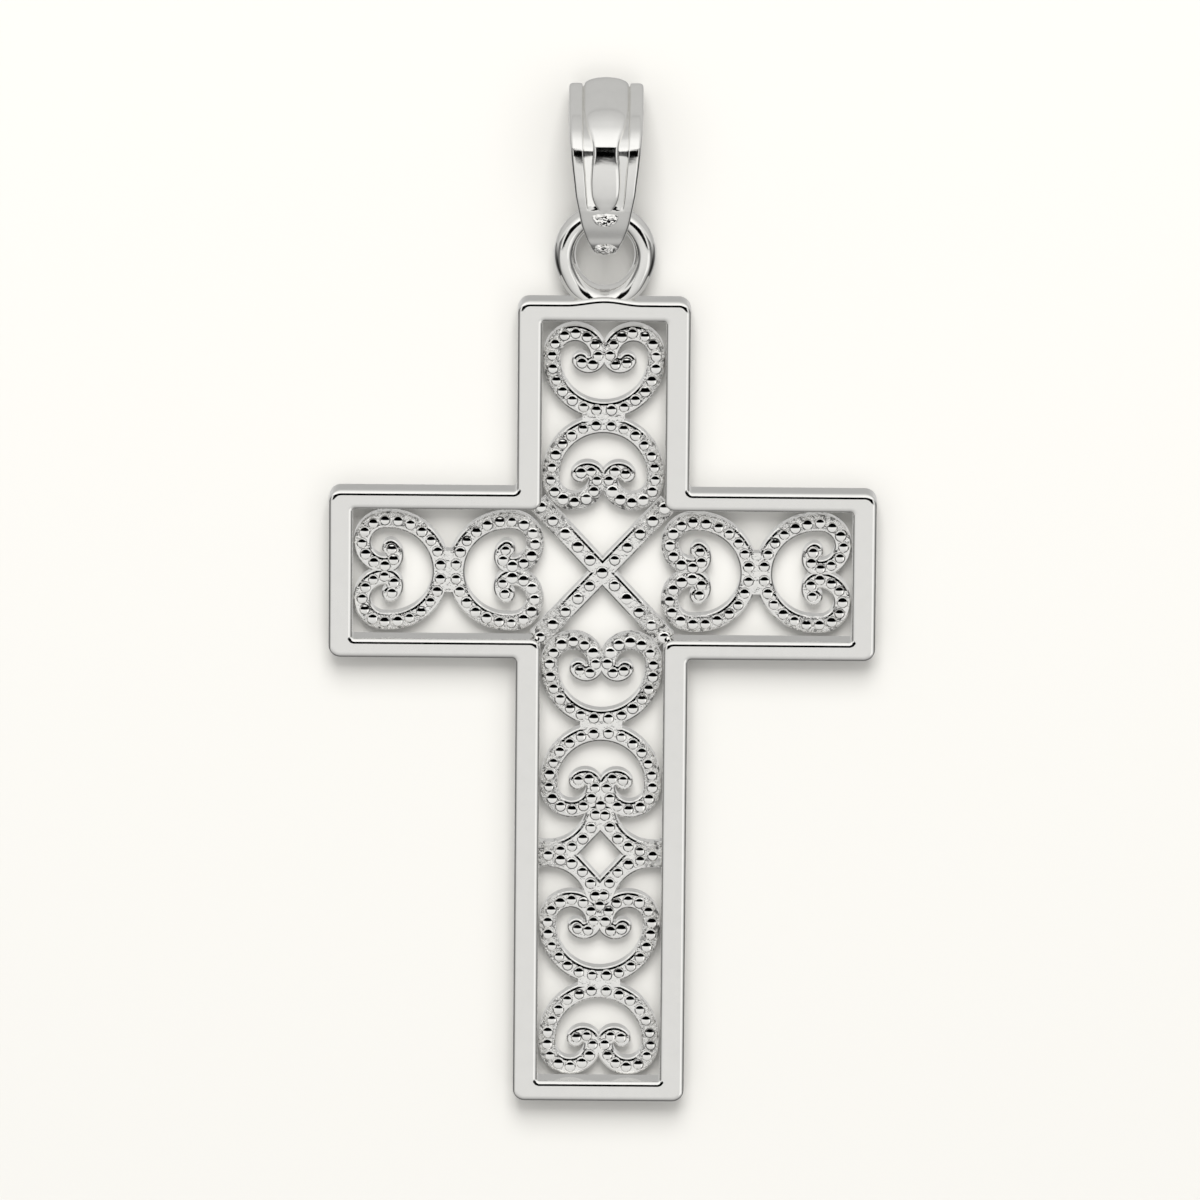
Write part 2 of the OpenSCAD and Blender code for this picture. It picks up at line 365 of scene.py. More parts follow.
    @staticmethod
    def deliver(piece: bpy.types.Object, name: str, body: Body,
                finish: bpy.types.Material) -> bpy.types.Object:
        """Brings a finished piece into the shared frame, in metres.

        Args:
            piece: The object, in millimetres.
            name: The piece's name.
            body: The body it rides on and the node it stands for.
            finish: Its material.

        Returns:
            The piece.
        """
        Bench.clear()
        piece.name = name
        piece.data.name = name
        piece.data.transform(Matrix.Scale(MM, 4))
        piece.data.materials.clear()
        piece.data.materials.append(finish)
        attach(piece, body.value)
        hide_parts(body.value)
        LOG.info("%s: %d faces", name, len(piece.data.polygons))
        return piece


class Pattern(NamedTuple):
    """A noise pattern: its grains in a millimetre, detail, roughness and depth."""

    per_mm: float
    detail: float
    rough: float
    depth_mm: float = 0.0


class Nodes:
    """A material's or world's node tree, with short ways to add nodes."""

    def __init__(self, tree: bpy.types.NodeTree) -> None:
        """Empties the tree."""
        self.tree = tree
        self.tree.nodes.clear()

    def add(self, kind: str, **settings: object) -> bpy.types.Node:
        """Adds a node.

        Args:
            kind: Blender's name of the node.
            **settings: The node's settings.

        Returns:
            The node.
        """
        node = self.tree.nodes.new(kind)
        for name, value in settings.items():
            setattr(node, name, value)
        return node

    def wire(self, source: bpy.types.NodeSocket, target: bpy.types.NodeSocket) -> None:
        """Joins an output to an input."""
        self.tree.links.new(source, target)

    def feed(self, target: bpy.types.NodeSocket, value: object) -> None:
        """Sets an input to a number or joins it to an output.

        Args:
            target: The input.
            value: The number or the output.
        """
        if isinstance(value, bpy.types.NodeSocket):
            self.wire(value, target)
        else:
            target.default_value = value

    def math(self, operation: str, *values: object) -> bpy.types.NodeSocket:
        """Adds a Math node.

        Args:
            operation: Blender's name of the operation.
            *values: The numbers and outputs that it works on.

        Returns:
            Its output.
        """
        node = self.add("ShaderNodeMath", operation=operation)
        for socket, value in zip(node.inputs, values):
            self.feed(socket, value)
        return node.outputs[0]

    def times(self, first: object, second: object) -> bpy.types.NodeSocket:
        """Multiplies two values."""
        return self.math("MULTIPLY", first, second)

    def rest(self, share: object) -> bpy.types.NodeSocket:
        """What is left of 1 when a share is taken."""
        return self.math("SUBTRACT", 1.0, share)

    def span(self, value: object, reach: Span, result: Span) -> bpy.types.NodeSocket:
        """Maps a value smoothly from one range onto another.

        Args:
            value: The output to map.
            reach: Where the range starts and ends.
            result: The result at its start and at its end.

        Returns:
            The mapped output.
        """
        node = self.add("ShaderNodeMapRange", interpolation_type="SMOOTHSTEP")
        for name, number in zip(("From Min", "From Max", "To Min", "To Max"), (*reach, *result)):
            node.inputs[name].default_value = number
        self.feed(node.inputs["Value"], value)
        return node.outputs["Result"]

    def rise(self, value: object, low: float, high: float) -> bpy.types.NodeSocket:
        """Share that eases from 0 at low to 1 at high."""
        return self.span(value, (low, high), (0.0, 1.0))

    def ramp(self, value: object, stops: Sequence[tuple[float, float]]) -> bpy.types.NodeSocket:
        """Maps a value through straight runs between stops.

        Args:
            value: The output to map, from 0 to 1.
            stops: Positions and results, in order.

        Returns:
            The mapped output.
        """
        node = self.add("ShaderNodeValToRGB")
        node.color_ramp.interpolation = "LINEAR"
        while len(node.color_ramp.elements) < len(stops):
            node.color_ramp.elements.new(0.5)
        for element, (position, result) in zip(node.color_ramp.elements, stops):
            element.position = position
            element.color = (result, result, result, 1.0)
        self.feed(node.inputs["Fac"], value)
        return node.outputs["Color"]

    def place(self, scale: Point = (1 / MM, 1 / MM, 1 / MM)) -> bpy.types.NodeSocket:
        """Adds object coordinates.

        Args:
            scale: Stretch along each axis; the usual one gives millimetres.

        Returns:
            The coordinates' output.
        """
        where = self.add("ShaderNodeTexCoord")
        grid = self.add("ShaderNodeMapping")
        grid.inputs["Scale"].default_value = scale
        self.wire(where.outputs["Object"], grid.inputs["Vector"])
        return grid.outputs["Vector"]

    def axes(self, kind: str) -> bpy.types.NodeOutputs:
        """Adds a texture coordinate, split into its parts.

        Args:
            kind: Blender's name of the coordinate.

        Returns:
            The outputs X, Y and Z.
        """
        where = self.add("ShaderNodeTexCoord")
        split = self.add("ShaderNodeSeparateXYZ")
        self.wire(where.outputs[kind], split.inputs[0])
        return split.outputs

    def noise(self, where: bpy.types.NodeSocket, pattern: Pattern) -> bpy.types.NodeSocket:
        """Adds a noise texture.

        Args:
            where: The coordinates' output.
            pattern: What the noise is like.

        Returns:
            The noise's output.
        """
        node = self.add("ShaderNodeTexNoise")
        node.inputs["Scale"].default_value = pattern.per_mm
        node.inputs["Detail"].default_value = pattern.detail
        node.inputs["Roughness"].default_value = pattern.rough
        self.wire(where, node.inputs["Vector"])
        return node.outputs[0]

    def dim(self, colour: bpy.types.NodeSocket, share: bpy.types.NodeSocket
            ) -> bpy.types.NodeSocket:
        """Multiplies a colour by a share.

        Args:
            colour: The colour's output.
            share: The share's output.

        Returns:
            The dimmed colour's output.
        """
        mix = self.add("ShaderNodeMix", data_type="RGBA", blend_type="MULTIPLY")
        mix.inputs["Factor"].default_value = 1.0
        self.wire(colour, mix.inputs[6])
        self.wire(share, mix.inputs[7])
        return mix.outputs[2]

    def bump(self, height: bpy.types.NodeSocket, depth_mm: float,
             strength: object = 1.0,
             under: bpy.types.NodeSocket | None = None) -> bpy.types.NodeSocket:
        """Adds a bump and returns its normal.

        Args:
            height: The height, from 0 to 1.
            depth_mm: The depth that a height of 1 stands for.
            strength: A number or an output that scales the bump.
            under: A normal that this bump is laid over.

        Returns:
            The bumped normal.
        """
        node = self.add("ShaderNodeBump")
        node.inputs["Distance"].default_value = depth_mm * MM
        self.feed(node.inputs["Strength"], strength)
        self.wire(height, node.inputs["Height"])
        if under is not None:
            self.wire(under, node.inputs["Normal"])
        return node.outputs["Normal"]


@dataclass(frozen=True)
class Silver:
    """What the silver finishes share: a clouded tone, a gloss and painted shade on steep edges."""

    name: str
    colour: Colour
    rough: float
    gloss_span: Span
    gloss_spread: Span
    cloud_span: Span
    cloud_tone: float
    # Painted shade on steep edges: the darkest share of the colour, then the normal's upward parts
    # where it ends at the wall and at the face, and their easing.
    edge_shade_tone: float
    edge_shade_span: Span = (0.15, 0.76)
    edge_shade_ease: Span = (0.12, 0.08)

    def start(self) -> tuple[bpy.types.Material, Nodes]:
        """Makes the material.

        Returns:
            The material and its empty node tree.
        """
        finish = bpy.data.materials.new(self.name)
        finish.use_nodes = True
        return finish, Nodes(finish.node_tree)

    def tint(self, nodes: Nodes, cloud: bpy.types.NodeSocket) -> bpy.types.NodeSocket:
        """Colours the silver, a little darker where a pattern is low.

        Args:
            nodes: The material's nodes.
            cloud: The pattern's output.

        Returns:
            The colour's output.
        """
        blend = nodes.add("ShaderNodeValToRGB")
        stops = zip(blend.color_ramp.elements, self.cloud_span, (self.cloud_tone, 1.0))
        for stop, position, tone in stops:
            stop.position = position
            stop.color = (*[part * tone for part in self.colour], 1.0)
        nodes.wire(cloud, blend.inputs["Fac"])
        return blend.outputs["Color"]

    def paint_edge_shade(self, nodes: Nodes, colour: bpy.types.NodeSocket) -> bpy.types.NodeSocket:
        """Darkens a colour on steep edges as painted shade, standing in for the dark reflections
        and shade along the edges.

        Args:
            nodes: The material's nodes.
            colour: The colour's output.

        Returns:
            The colour's output, with painted shade between an upright wall and a flat face.
        """
        if self.edge_shade_tone == 1.0:
            return colour
        # Painted shade: the band of normals between wall and face is darkened.
        up = nodes.axes("Normal")["Z"]
        (wall, face), (wall_ease, face_ease) = self.edge_shade_span, self.edge_shade_ease
        skin = nodes.times(nodes.rise(up, face, face - face_ease),
                           nodes.rise(up, wall, wall + wall_ease))
        return nodes.dim(colour, nodes.rest(nodes.times(skin, 1.0 - self.edge_shade_tone)))

    def coat(self, nodes: Nodes, colour: bpy.types.NodeSocket, gloss: bpy.types.NodeSocket,
             normal: bpy.types.NodeSocket) -> None:
        """Adds the metal's shader and the material's output.

        Args:
            nodes: The material's nodes.
            colour: The colour's output.
            gloss: The pattern that the roughness follows.
            normal: The bumped normal.
        """
        skin = nodes.add("ShaderNodeBsdfPrincipled")
        skin.inputs["Metallic"].default_value = 1.0
        nodes.wire(self.paint_edge_shade(nodes, colour), skin.inputs["Base Color"])
        least, most = self.gloss_spread
        nodes.wire(nodes.span(gloss, self.gloss_span, (self.rough * least, self.rough * most)),
                   skin.inputs["Roughness"])
        nodes.wire(normal, skin.inputs["Normal"])
        out = nodes.add("ShaderNodeOutputMaterial")
        nodes.wire(skin.outputs["BSDF"], out.inputs["Surface"])


@dataclass(frozen=True)
class MirrorPolish(Silver):
    """Hand-polished silver: a mirror with faint waves and hairlines."""

    name: str = "polished_silver"
    colour: Colour = (0.93, 0.925, 0.91)
    rough: float = 0.07
    gloss_span: Span = (0.25, 0.75)
    gloss_spread: Span = (0.7, 1.5)
    cloud_span: Span = (0.3, 0.7)
    cloud_tone: float = 0.965
    edge_shade_tone: float = 1.0
    cloud: Pattern = Pattern(per_mm=2.3, detail=4.0, rough=0.6)
    wave: Pattern = Pattern(per_mm=0.45, detail=1.0, rough=0.4, depth_mm=0.012)
    grain: Pattern = Pattern(per_mm=9.0, detail=3.0, rough=0.6, depth_mm=0.0006)
    hairline: Pattern = Pattern(per_mm=1.0, detail=2.0, rough=0.6, depth_mm=0.0002)
    hairline_scale: Point = (3000.0, 40000.0, 9000.0)

    def make(self) -> bpy.types.Material:
        """Makes the material.

        Returns:
            The material.
        """
        finish, nodes = self.start()
        where = nodes.place()
        brushed = nodes.place(self.hairline_scale)
        normal = nodes.bump(nodes.noise(where, self.wave), self.wave.depth_mm)
        for place, pattern in ((where, self.grain), (brushed, self.hairline)):
            normal = nodes.bump(nodes.noise(place, pattern), pattern.depth_mm, under=normal)
        cloud = nodes.noise(where, self.cloud)
        self.coat(nodes, self.tint(nodes, cloud), cloud, normal)
        return finish


@dataclass(frozen=True)
class CastSatin(Silver):
    """Cast silver of the scrollwork: a soft satin, pebbled where it is soldered.

    Solder gathers along the walls of the frame's opening, whose half width and
    half height are given in millimetres.
    """

    name: str = "satin_silver"
    colour: Colour = (0.99, 0.985, 0.97)
    rough: float = 0.035
    gloss_span: Span = (0.3, 0.7)
    gloss_spread: Span = (0.75, 1.3)
    cloud_span: Span = (0.35, 0.6)
    cloud_tone: float = 0.95
    # Painted shade on the ribbons' steep edges, down to this share of the colour.
    edge_shade_tone: float = 0.3
    pebble: Pattern = Pattern(per_mm=5.5, detail=3.0, rough=0.55, depth_mm=0.014)
    speck: Pattern = Pattern(per_mm=5.5, detail=3.0, rough=0.6, depth_mm=0.2)
    pit_tone: float = 0.8
    pit_span: Span = (0.37, 0.45)
    solder_reach: float = 1.0
    walls: Span = (0.0, 0.0)

    def solder_share(self, nodes: Nodes) -> bpy.types.NodeSocket:
        """Share of solder at a place: high beside the walls of the frame.

        Args:
            nodes: The material's nodes.

        Returns:
            An output from 0, clean casting, to 1, solder.
        """
        place = nodes.axes("Object")
        reach = []
        for axis, wall in zip("XY", self.walls):
            off = nodes.math("ABSOLUTE", place[axis])
            gap = nodes.math("ABSOLUTE", nodes.math("SUBTRACT", off, wall * MM))
            reach.append(nodes.span(gap, (0.0, self.solder_reach * MM), (1.0, 0.0)))
        return nodes.math("MAXIMUM", *reach)

    def make(self) -> bpy.types.Material:
        """Makes the material.

        Returns:
            The material.
        """
        finish, nodes = self.start()
        where = nodes.place()
        solder = self.solder_share(nodes)
        pebble = nodes.noise(where, self.pebble)
        speck = nodes.noise(where, self.speck)
        normal = nodes.bump(pebble, self.pebble.depth_mm)
        normal = nodes.bump(speck, self.speck.depth_mm, solder, under=normal)
        pits = nodes.times(solder, nodes.span(speck, self.pit_span, (self.pit_tone, 0.0)))
        self.coat(nodes, nodes.dim(self.tint(nodes, pebble), nodes.rest(pits)), speck, normal)
        return finish


class Corner(NamedTuple):
    """A rounded corner and the number of its steps."""

    radius: float
    steps: int


@dataclass
class Frame:
    """The flat polished band that the scrollwork is soldered into."""

    beam_w: float = 5.85
    cross_w: float = 18.6
    rise_h: float = 9.55
    foot_h: float = 18.5
    thick: float = 1.0
    side_wall: float = 0.825
    level_wall: float = 0.665
    arm_end_wall: float = 0.8
    post_end_wall: float = 0.71
    corner: Corner = Corner(radius=0.4, steps=7)
    crossing: Corner = Corner(radius=0.34, steps=6)
    armpit: Corner = Corner(radius=0.12, steps=4)
    opening: Corner = Corner(radius=0.08, steps=3)
    back_roll: Roll = Roll(soft_r=0.07, tight_r=0.07, turn=45.0, soft_steps=1, tight_steps=1)
    roll: Roll = Roll(soft_r=0.31, tight_r=0.06, turn=33.0, soft_steps=7, tight_steps=4)
    mound_rise: float = 0.13
    mound_span: float = 1.3
    mound_cuts: int = 38
    flat_degrees: float = 0.2
    shade_degrees: float = 50.0

    @property
    def half(self) -> float:
        """Half the width of a beam."""
        return self.beam_w / 2

    @property
    def open_u(self) -> float:
        """Half width of the upright opening."""
        return self.half - self.side_wall

    @property
    def open_v(self) -> float:
        """Half height of the level opening."""
        return self.half - self.level_wall

    @property
    def open_side(self) -> float:
        """Reach of the level opening."""
        return self.cross_w / 2 - self.arm_end_wall

    @property
    def open_top(self) -> float:
        """Reach of the upright opening above the crossing."""
        return self.rise_h - self.post_end_wall

    @property
    def open_foot(self) -> float:
        """Reach of the upright opening below the crossing."""
        return self.foot_h - self.post_end_wall

    @staticmethod
    def cross_face(half_u: float, half_v: float, side: float, top: float,
                   foot: float) -> bpy.types.Object:
        """Draws a cross as one flat face.

        Args:
            half_u: Half width of the upright beam.
            half_v: Half height of the level beam.
            side: Reach of the level beam.
            top: Reach of the upright beam above the crossing.
            foot: Reach of the upright beam below the crossing.

        Returns:
            The flat cross.
        """
        bpy.ops.mesh.primitive_plane_add(size=2.0)
        face = bpy.context.object
        arms = ((Vector((half_u, 0.0, 0.0)), side - half_u),
                (Vector((-half_u, 0.0, 0.0)), side - half_u),
                (Vector((0.0, half_v, 0.0)), top - half_v),
                (Vector((0.0, -half_v, 0.0)), foot - half_v))
        with Bench.editing(face):
            bpy.ops.mesh.select_all(action="SELECT")
            bpy.ops.transform.resize(value=(half_u, half_v, 1.0))
            for end, run in arms:
                Bench.pick(Element.EDGE, lambda edge: (
                    (edge.verts[0].co + edge.verts[1].co) / 2 - end).length < NEAR)
                Bench.extrude(*(end.normalized() * run))
            Bench.tidy()
            bpy.ops.mesh.select_all(action="SELECT")
            bpy.ops.mesh.dissolve_faces()
        return face

    @staticmethod
    def round_corners(face: bpy.types.Object, corner: Corner,
                      here: Callable[[float, float], bool]) -> None:
        """Rounds some corners of a flat face.

        Args:
            face: The flat face.
            corner: Their radius and steps.
            here: Tells from a corner's distances from the Y and X axes whether to round it.
        """
        with Bench.editing(face):
            Bench.pick(Element.VERT, lambda vert: here(abs(vert.co.x), abs(vert.co.y)))
            bpy.ops.mesh.bevel(offset=corner.radius, segments=corner.steps, affect="VERTICES",
                               clamp_overlap=False)

    def raise_mound(self, face: bpy.types.Object) -> None:
        """Swells the top edge where the ring is soldered on.

        Args:
            face: The flat outline.
        """
        foot = self.rise_h - NEAR
        with Bench.editing(face):
            Bench.pick(Element.EDGE, lambda edge: all(vert.co.y > foot for vert in edge.verts))
            bpy.ops.mesh.subdivide(number_cuts=self.mound_cuts)
            shell = bmesh.from_edit_mesh(face.data)
            for vert in shell.verts:
                if vert.co.y > foot and abs(vert.co.x) < self.mound_span:
                    share = math.cos(math.pi / 2 * vert.co.x / self.mound_span) ** 2
                    vert.co.y += self.mound_rise * share
            bmesh.update_edit_mesh(face.data)

    @staticmethod
    def thicken(face: bpy.types.Object, low: float, high: float) -> None:
        """Makes a flat face a solid between two heights.

        Args:
            face: The flat face.
            low: The lower height.
            high: The upper height.
        """
        with Bench.editing(face):
            bpy.ops.mesh.select_all(action="SELECT")
            bpy.ops.transform.translate(value=(0.0, 0.0, low))
            Bench.extrude(0.0, 0.0, high - low)
            Bench.tidy()

    def outline(self) -> bpy.types.Object:
        """Draws the band's outer outline, with its rounded corners and the ring's mound.

        Returns:
            The flat outline.
        """
        half = self.half
        face = self.cross_face(half, half, self.cross_w / 2, self.rise_h, self.foot_h)
        self.round_corners(face, self.corner, lambda x, y: max(x, y) > half + NEAR)
        self.round_corners(face, self.armpit, lambda x, y: (
            abs(x - half) < NEAR and abs(y - half) < NEAR))
        self.raise_mound(face)
        return face

    def hole(self) -> bpy.types.Object:
        """Draws the opening that the scrollwork fills.

        Returns:
            The flat opening.
        """
        u, v = self.open_u, self.open_v
        face = self.cross_face(u, v, self.open_side, self.open_top, self.open_foot)
        self.round_corners(face, self.opening, lambda x, y: x > u + NEAR or y > v + NEAR)
        self.round_corners(face, self.crossing, lambda x, y: (
            abs(x - u) < NEAR and abs(y - v) < NEAR))
        return face

    def band(self) -> bpy.types.Object:
        """Builds the band: the outline with the opening cut out.

        Returns:
            The solid band, with sharp edges.
        """
        band, hole = self.outline(), self.hole()
        self.thicken(band, 0.0, self.thick)
        self.thicken(hole, -self.thick, 2 * self.thick)
        Bench.carve(band, hole)
        with Bench.editing(band):
            Bench.tidy()
            bpy.ops.mesh.dissolve_limited(angle_limit=math.radians(self.flat_degrees))
        return band

    def round_edges(self, band: bpy.types.Object) -> None:
        """Eases the edges of the back and rolls those of the front.

        Args:
            band: The solid band.
        """
        over = (Matrix.Translation((0.0, 0.0, self.thick))
                @ Matrix.Rotation(math.pi, 4, "X"))
        band.data.transform(over)
        Bench.roll_top(band, self.back_roll)
        band.data.transform(over)
        Bench.roll_top(band, self.roll)

    def build(self, finish: bpy.types.Material) -> bpy.types.Object:
        """Builds and dresses the frame.

        Args:
            finish: The polish.

        Returns:
            The finished piece.
        """
        band = self.band()
        self.round_edges(band)
        Bench.shade(band, self.shade_degrees)
        Bench.weigh_normals(band)
        return Bench.deliver(band, "frame_band", Body.CROSS, finish)


@dataclass
class Bead:
    """One grain of the beading: a low dome with a soft foot."""

    radius: float = 0.195
    rise: float = 0.085
    crown_r: float = 0.59
    crown_reach: float = 0.156
    crown_shares: tuple[float, ...] = (0.0, 0.4, 0.75, 1.0)
    rim_slope: float = 37.0
    sunk: float = 0.03
    sides: int = 12

    def profile(self) -> list[tuple[float, float]]:
        """Works out the dome's outline.

        Returns:
            Radius and height of the dome's rings, from its top down.
        """
        rings = []
        for share in self.crown_shares:
            reach = share * self.crown_reach
            rings.append((reach, self.rise - self.crown_r
                          + math.sqrt(self.crown_r ** 2 - reach ** 2)))
        reach, shoulder = rings[-1]
        rim = (self.radius - reach) * math.tan(math.radians(self.rim_slope))
        return rings + [(self.radius, shoulder - rim), (self.radius, -self.sunk)]

    def build(self) -> bpy.types.Object:
        """Spins the profile into a closed dome at the origin.

        Returns:
            The dome.
        """
        rings, size = self.profile(), 1.0
        bpy.ops.mesh.primitive_plane_add(size=size)
        dome = bpy.context.object
        with Bench.editing(dome):
            Bench.pick(Element.VERT, lambda vert: not (vert.co.x > 0 and vert.co.y > 0))
            bpy.ops.mesh.delete(type="VERT")
            Bench.pick(Element.VERT, lambda vert: True)
            start = Vector((rings[0][0], 0.0, rings[0][1]))
            bpy.ops.transform.translate(value=start - Vector((size / 2, size / 2, 0.0)))
            for (r0, z0), (r1, z1) in zip(rings, rings[1:]):
                Bench.extrude(r1 - r0, 0.0, z1 - z0)
            Bench.extrude(-self.radius, 0.0, 0.0)
            bpy.ops.mesh.select_all(action="SELECT")
            Bench.spin((0.0, 0.0, 0.0), 360.0, self.sides)
            Bench.tidy()
        return dome


@dataclass
class Scroll:
    """One C-scroll ribbon: bow, shoulder, lobe and curl."""

    width: float = 0.58
    thick: float = 0.5
    bow_r: float = 1.77
    shoulder: float = 0.14
    lobe_r: float = 0.785
    curl_r: float = 0.33
    curl_turn: float = 145.0
    lead: float = 0.22
    tip_reach: float = 0.98
    tip_round: float = 0.96
    bow_steps: int = 26
    lobe_steps: int = 30
    curl_steps: int = 20
    tip_steps: int = 7

    @property
    def lobe_u(self) -> float:
        """Distance of the lobe's middle from the heart's middle line."""
        return self.bow_r - self.lobe_r

    @property
    def lobe_v(self) -> float:
        """Height of the lobe's and the curl's middle over the bow."""
        return self.bow_r + self.shoulder

    @property
    def curl_u(self) -> float:
        """Distance of the curl's middle from the heart's middle line."""
        return self.bow_r - 2 * self.lobe_r + self.curl_r

    def point(self, run: float) -> tuple[float, float]:
        """Point on the scroll's middle line.

        Args:
            run: Distance along the line from the middle of the bow.

        Returns:
            Its u and v.
        """
        bow = self.bow_r * math.pi / 2
        lobe = self.lobe_r * math.pi
        if run < bow:
            angle = run / self.bow_r - math.pi / 2
            return self.bow_r * math.cos(angle), self.bow_r + self.bow_r * math.sin(angle)
        run -= bow
        if run < self.shoulder:
            return self.bow_r, self.bow_r + run
        run -= self.shoulder
        if run < lobe:
            angle = run / self.lobe_r
            return (self.lobe_u + self.lobe_r * math.cos(angle),
                    self.lobe_v + self.lobe_r * math.sin(angle))
        angle = math.pi + (run - lobe) / self.curl_r
        return (self.curl_u + self.curl_r * math.cos(angle),
                self.lobe_v + self.curl_r * math.sin(angle))

    def draw(self, ribbon: bpy.types.Object) -> None:
        """Spins the ribbon's end edge along its arcs and rounds its tip.

        Args:
            ribbon: A plane whose right edge lies across the start of the bow.
        """
        reach = self.width / 2 * self.tip_reach
        end = math.radians(180.0 + self.curl_turn)
        with Bench.editing(ribbon):
            Bench.pick(Element.VERT, lambda vert: vert.co.x < -NEAR)
            bpy.ops.mesh.delete(type="VERT")
            bpy.ops.mesh.select_all(action="SELECT")
            bpy.ops.transform.translate(value=(-self.lead, 0.0, 0.0))
            Bench.extrude(self.lead, 0.0, 0.0)
            Bench.spin((0.0, self.bow_r, 0.0), 90.0, self.bow_steps)
            Bench.extrude(0.0, self.shoulder, 0.0)
            Bench.spin((self.lobe_u, self.lobe_v, 0.0), 180.0, self.lobe_steps)
            Bench.spin((self.curl_u, self.lobe_v, 0.0), self.curl_turn, self.curl_steps)
            Bench.extrude(-math.sin(end) * reach, math.cos(end) * reach, 0.0)
            bpy.ops.mesh.bevel(offset=reach * self.tip_round, segments=self.tip_steps,
                               affect="VERTICES", clamp_overlap=False)
            Bench.tidy()

    def build(self) -> bpy.types.Object:
        """Builds the ribbon, from the middle of the bow to the tip of the curl.

        Returns:
            The solid ribbon, with sharp edges.
        """
        bpy.ops.mesh.primitive_plane_add(size=self.width, location=(-self.width / 2, 0.0, 0.0))
        ribbon = Bench.settle(bpy.context.object)
        self.draw(ribbon)
        with Bench.editing(ribbon):
            bpy.ops.mesh.select_all(action="SELECT")
            Bench.extrude(0.0, 0.0, self.thick)
            Bench.tidy()
        return ribbon


@dataclass
class Scrollwork:
    """The hearts, the saltire and the diamond."""

    frame: Frame
    scroll: Scroll = field(default_factory=Scroll)
    bow_gap: float = 0.5
    bow_web: tuple[float, float] = (0.72, 0.14)
    pair_top: float = 5.4
    pair_side: float = 5.235
    pair_mid: float = 5.365
    pair_foot: float = 14.435
    saltire_w: float = 0.66
    saltire_lap: float = 0.15
    diamond_v: float = 0.82
    diamond_u: float = 0.75
    diamond_drop: float = 0.02
    diamond_lap: float = 0.02
    hollow_r: float = 1.33
    hollow_u: float = 1.8
    hollow_v: float = 1.77
    hollow_sides: int = 72
    cutter_h: float = 4.0
    roll: Facets = Facets((Facet(slope=34.0, width=0.048), Facet(slope=8.5, width=0.072)))
    flat_degrees: float = 0.4
    shade_degrees: float = 7.8

    @property
    def diamond_y(self) -> float:
        """Height of the diamond's middle over the crossing."""
        return -(self.pair_mid + self.pair_foot) / 2 - self.diamond_drop

    @property
    def saltire_lean(self) -> float:
        """Angle of the saltire's ribbons from the X axis, in radians."""
        return math.atan2(self.frame.open_v, self.frame.open_u)

    def pair_places(self) -> list[Matrix]:
        """Works out the places of the five pairs of hearts.

        Returns:
            The turn and move of each pair, from a pair at the origin along Y.
        """
        rows = ((Arm.TOP, self.pair_top), (Arm.LEFT, self.pair_side),
                (Arm.RIGHT, self.pair_side), (Arm.FOOT, self.pair_mid),
                (Arm.FOOT, self.pair_foot))
        return [Matrix.Rotation(math.radians(arm.value), 4, "Z")
                @ Matrix.Translation((0.0, reach, 0.0)) for arm, reach in rows]

    def pair(self) -> bpy.types.Object:
        """Builds two hearts bow to bow, at the origin along Y.

        Returns:
            The pair as one closed shell.
        """
        scroll = self.scroll.build()
        Bench.roll_top(scroll, self.roll)
        scroll.data.transform(Matrix.Translation((0.0, self.bow_gap / 2, 0.0)))
        flips = [Matrix.Diagonal((x, y, 1.0, 1.0)) for x, y in ((-1, 1), (1, -1), (-1, -1))]
        pieces = [scroll] + [Bench.copy(scroll, flip) for flip in flips]
        web_u, web_v = self.bow_web
        pieces.append(self.block((-web_u, -web_v), (web_u, web_v)))
        return Bench.fuse(pieces)

    def saltire(self) -> bpy.types.Object:
        """Builds the two crossed ribbons at the crossing.

        Returns:
            The saltire as one closed shell.
        """
        reach = math.hypot(self.frame.open_u, self.frame.open_v) + self.saltire_lap
        half = self.saltire_w / 2
        bars = []
        for lean in (self.saltire_lean, -self.saltire_lean):
            bar = self.block((-reach, -half), (reach, half))
            Bench.roll_top(bar, self.roll)
            bar.data.transform(Matrix.Rotation(lean, 4, "Z"))
            bars.append(bar)
        return Bench.fuse(bars)

    def hollow(self, u: float, v: float) -> bpy.types.Object:
        """Builds a round cutter for one of the diamond's four hollows.

        Args:
            u: Its middle's distance from the upright middle line.
            v: Its middle's distance from the level middle line.

        Returns:
            The cutter.
        """
        bpy.ops.mesh.primitive_cylinder_add(vertices=self.hollow_sides, radius=self.hollow_r,
                                            depth=self.cutter_h, location=(u, v, 0.0))
        return Bench.settle(bpy.context.object)

    def block(self, low: tuple[float, float], high: tuple[float, float]) -> bpy.types.Object:
        """Builds an upright block between two corners.

        Args:
            low: Lowest u and v.
            high: Highest u and v.

        Returns:
            The block, as thick as the scrollwork.
        """
        bpy.ops.mesh.primitive_plane_add(size=1.0)
        block = bpy.context.object
        size = Vector((high[0] - low[0], high[1] - low[1], 1.0))
        middle = Vector(((high[0] + low[0]) / 2, (high[1] + low[1]) / 2, 0.0))
        with Bench.editing(block):
            bpy.ops.mesh.select_all(action="SELECT")
            bpy.ops.transform.resize(value=size)
            bpy.ops.transform.translate(value=middle)
            Bench.extrude(0.0, 0.0, self.scroll.thick)
            Bench.tidy()
        return block

    def window(self) -> bpy.types.Object:
        """Builds the cutter of the diamond's window.

        Returns:
            An upright bar with a section of the window's shape.
        """
        bpy.ops.mesh.primitive_cube_add(size=1.0)
        cutter = bpy.context.object
        cutter.data.transform(
            Matrix.Diagonal((self.diamond_u, self.diamond_v, self.cutter_h, 1.0))
            @ Matrix.Rotation(math.radians(45.0), 4, "Z")
            @ Matrix.Diagonal((math.sqrt(2.0), math.sqrt(2.0), 1.0, 1.0)))
        return cutter

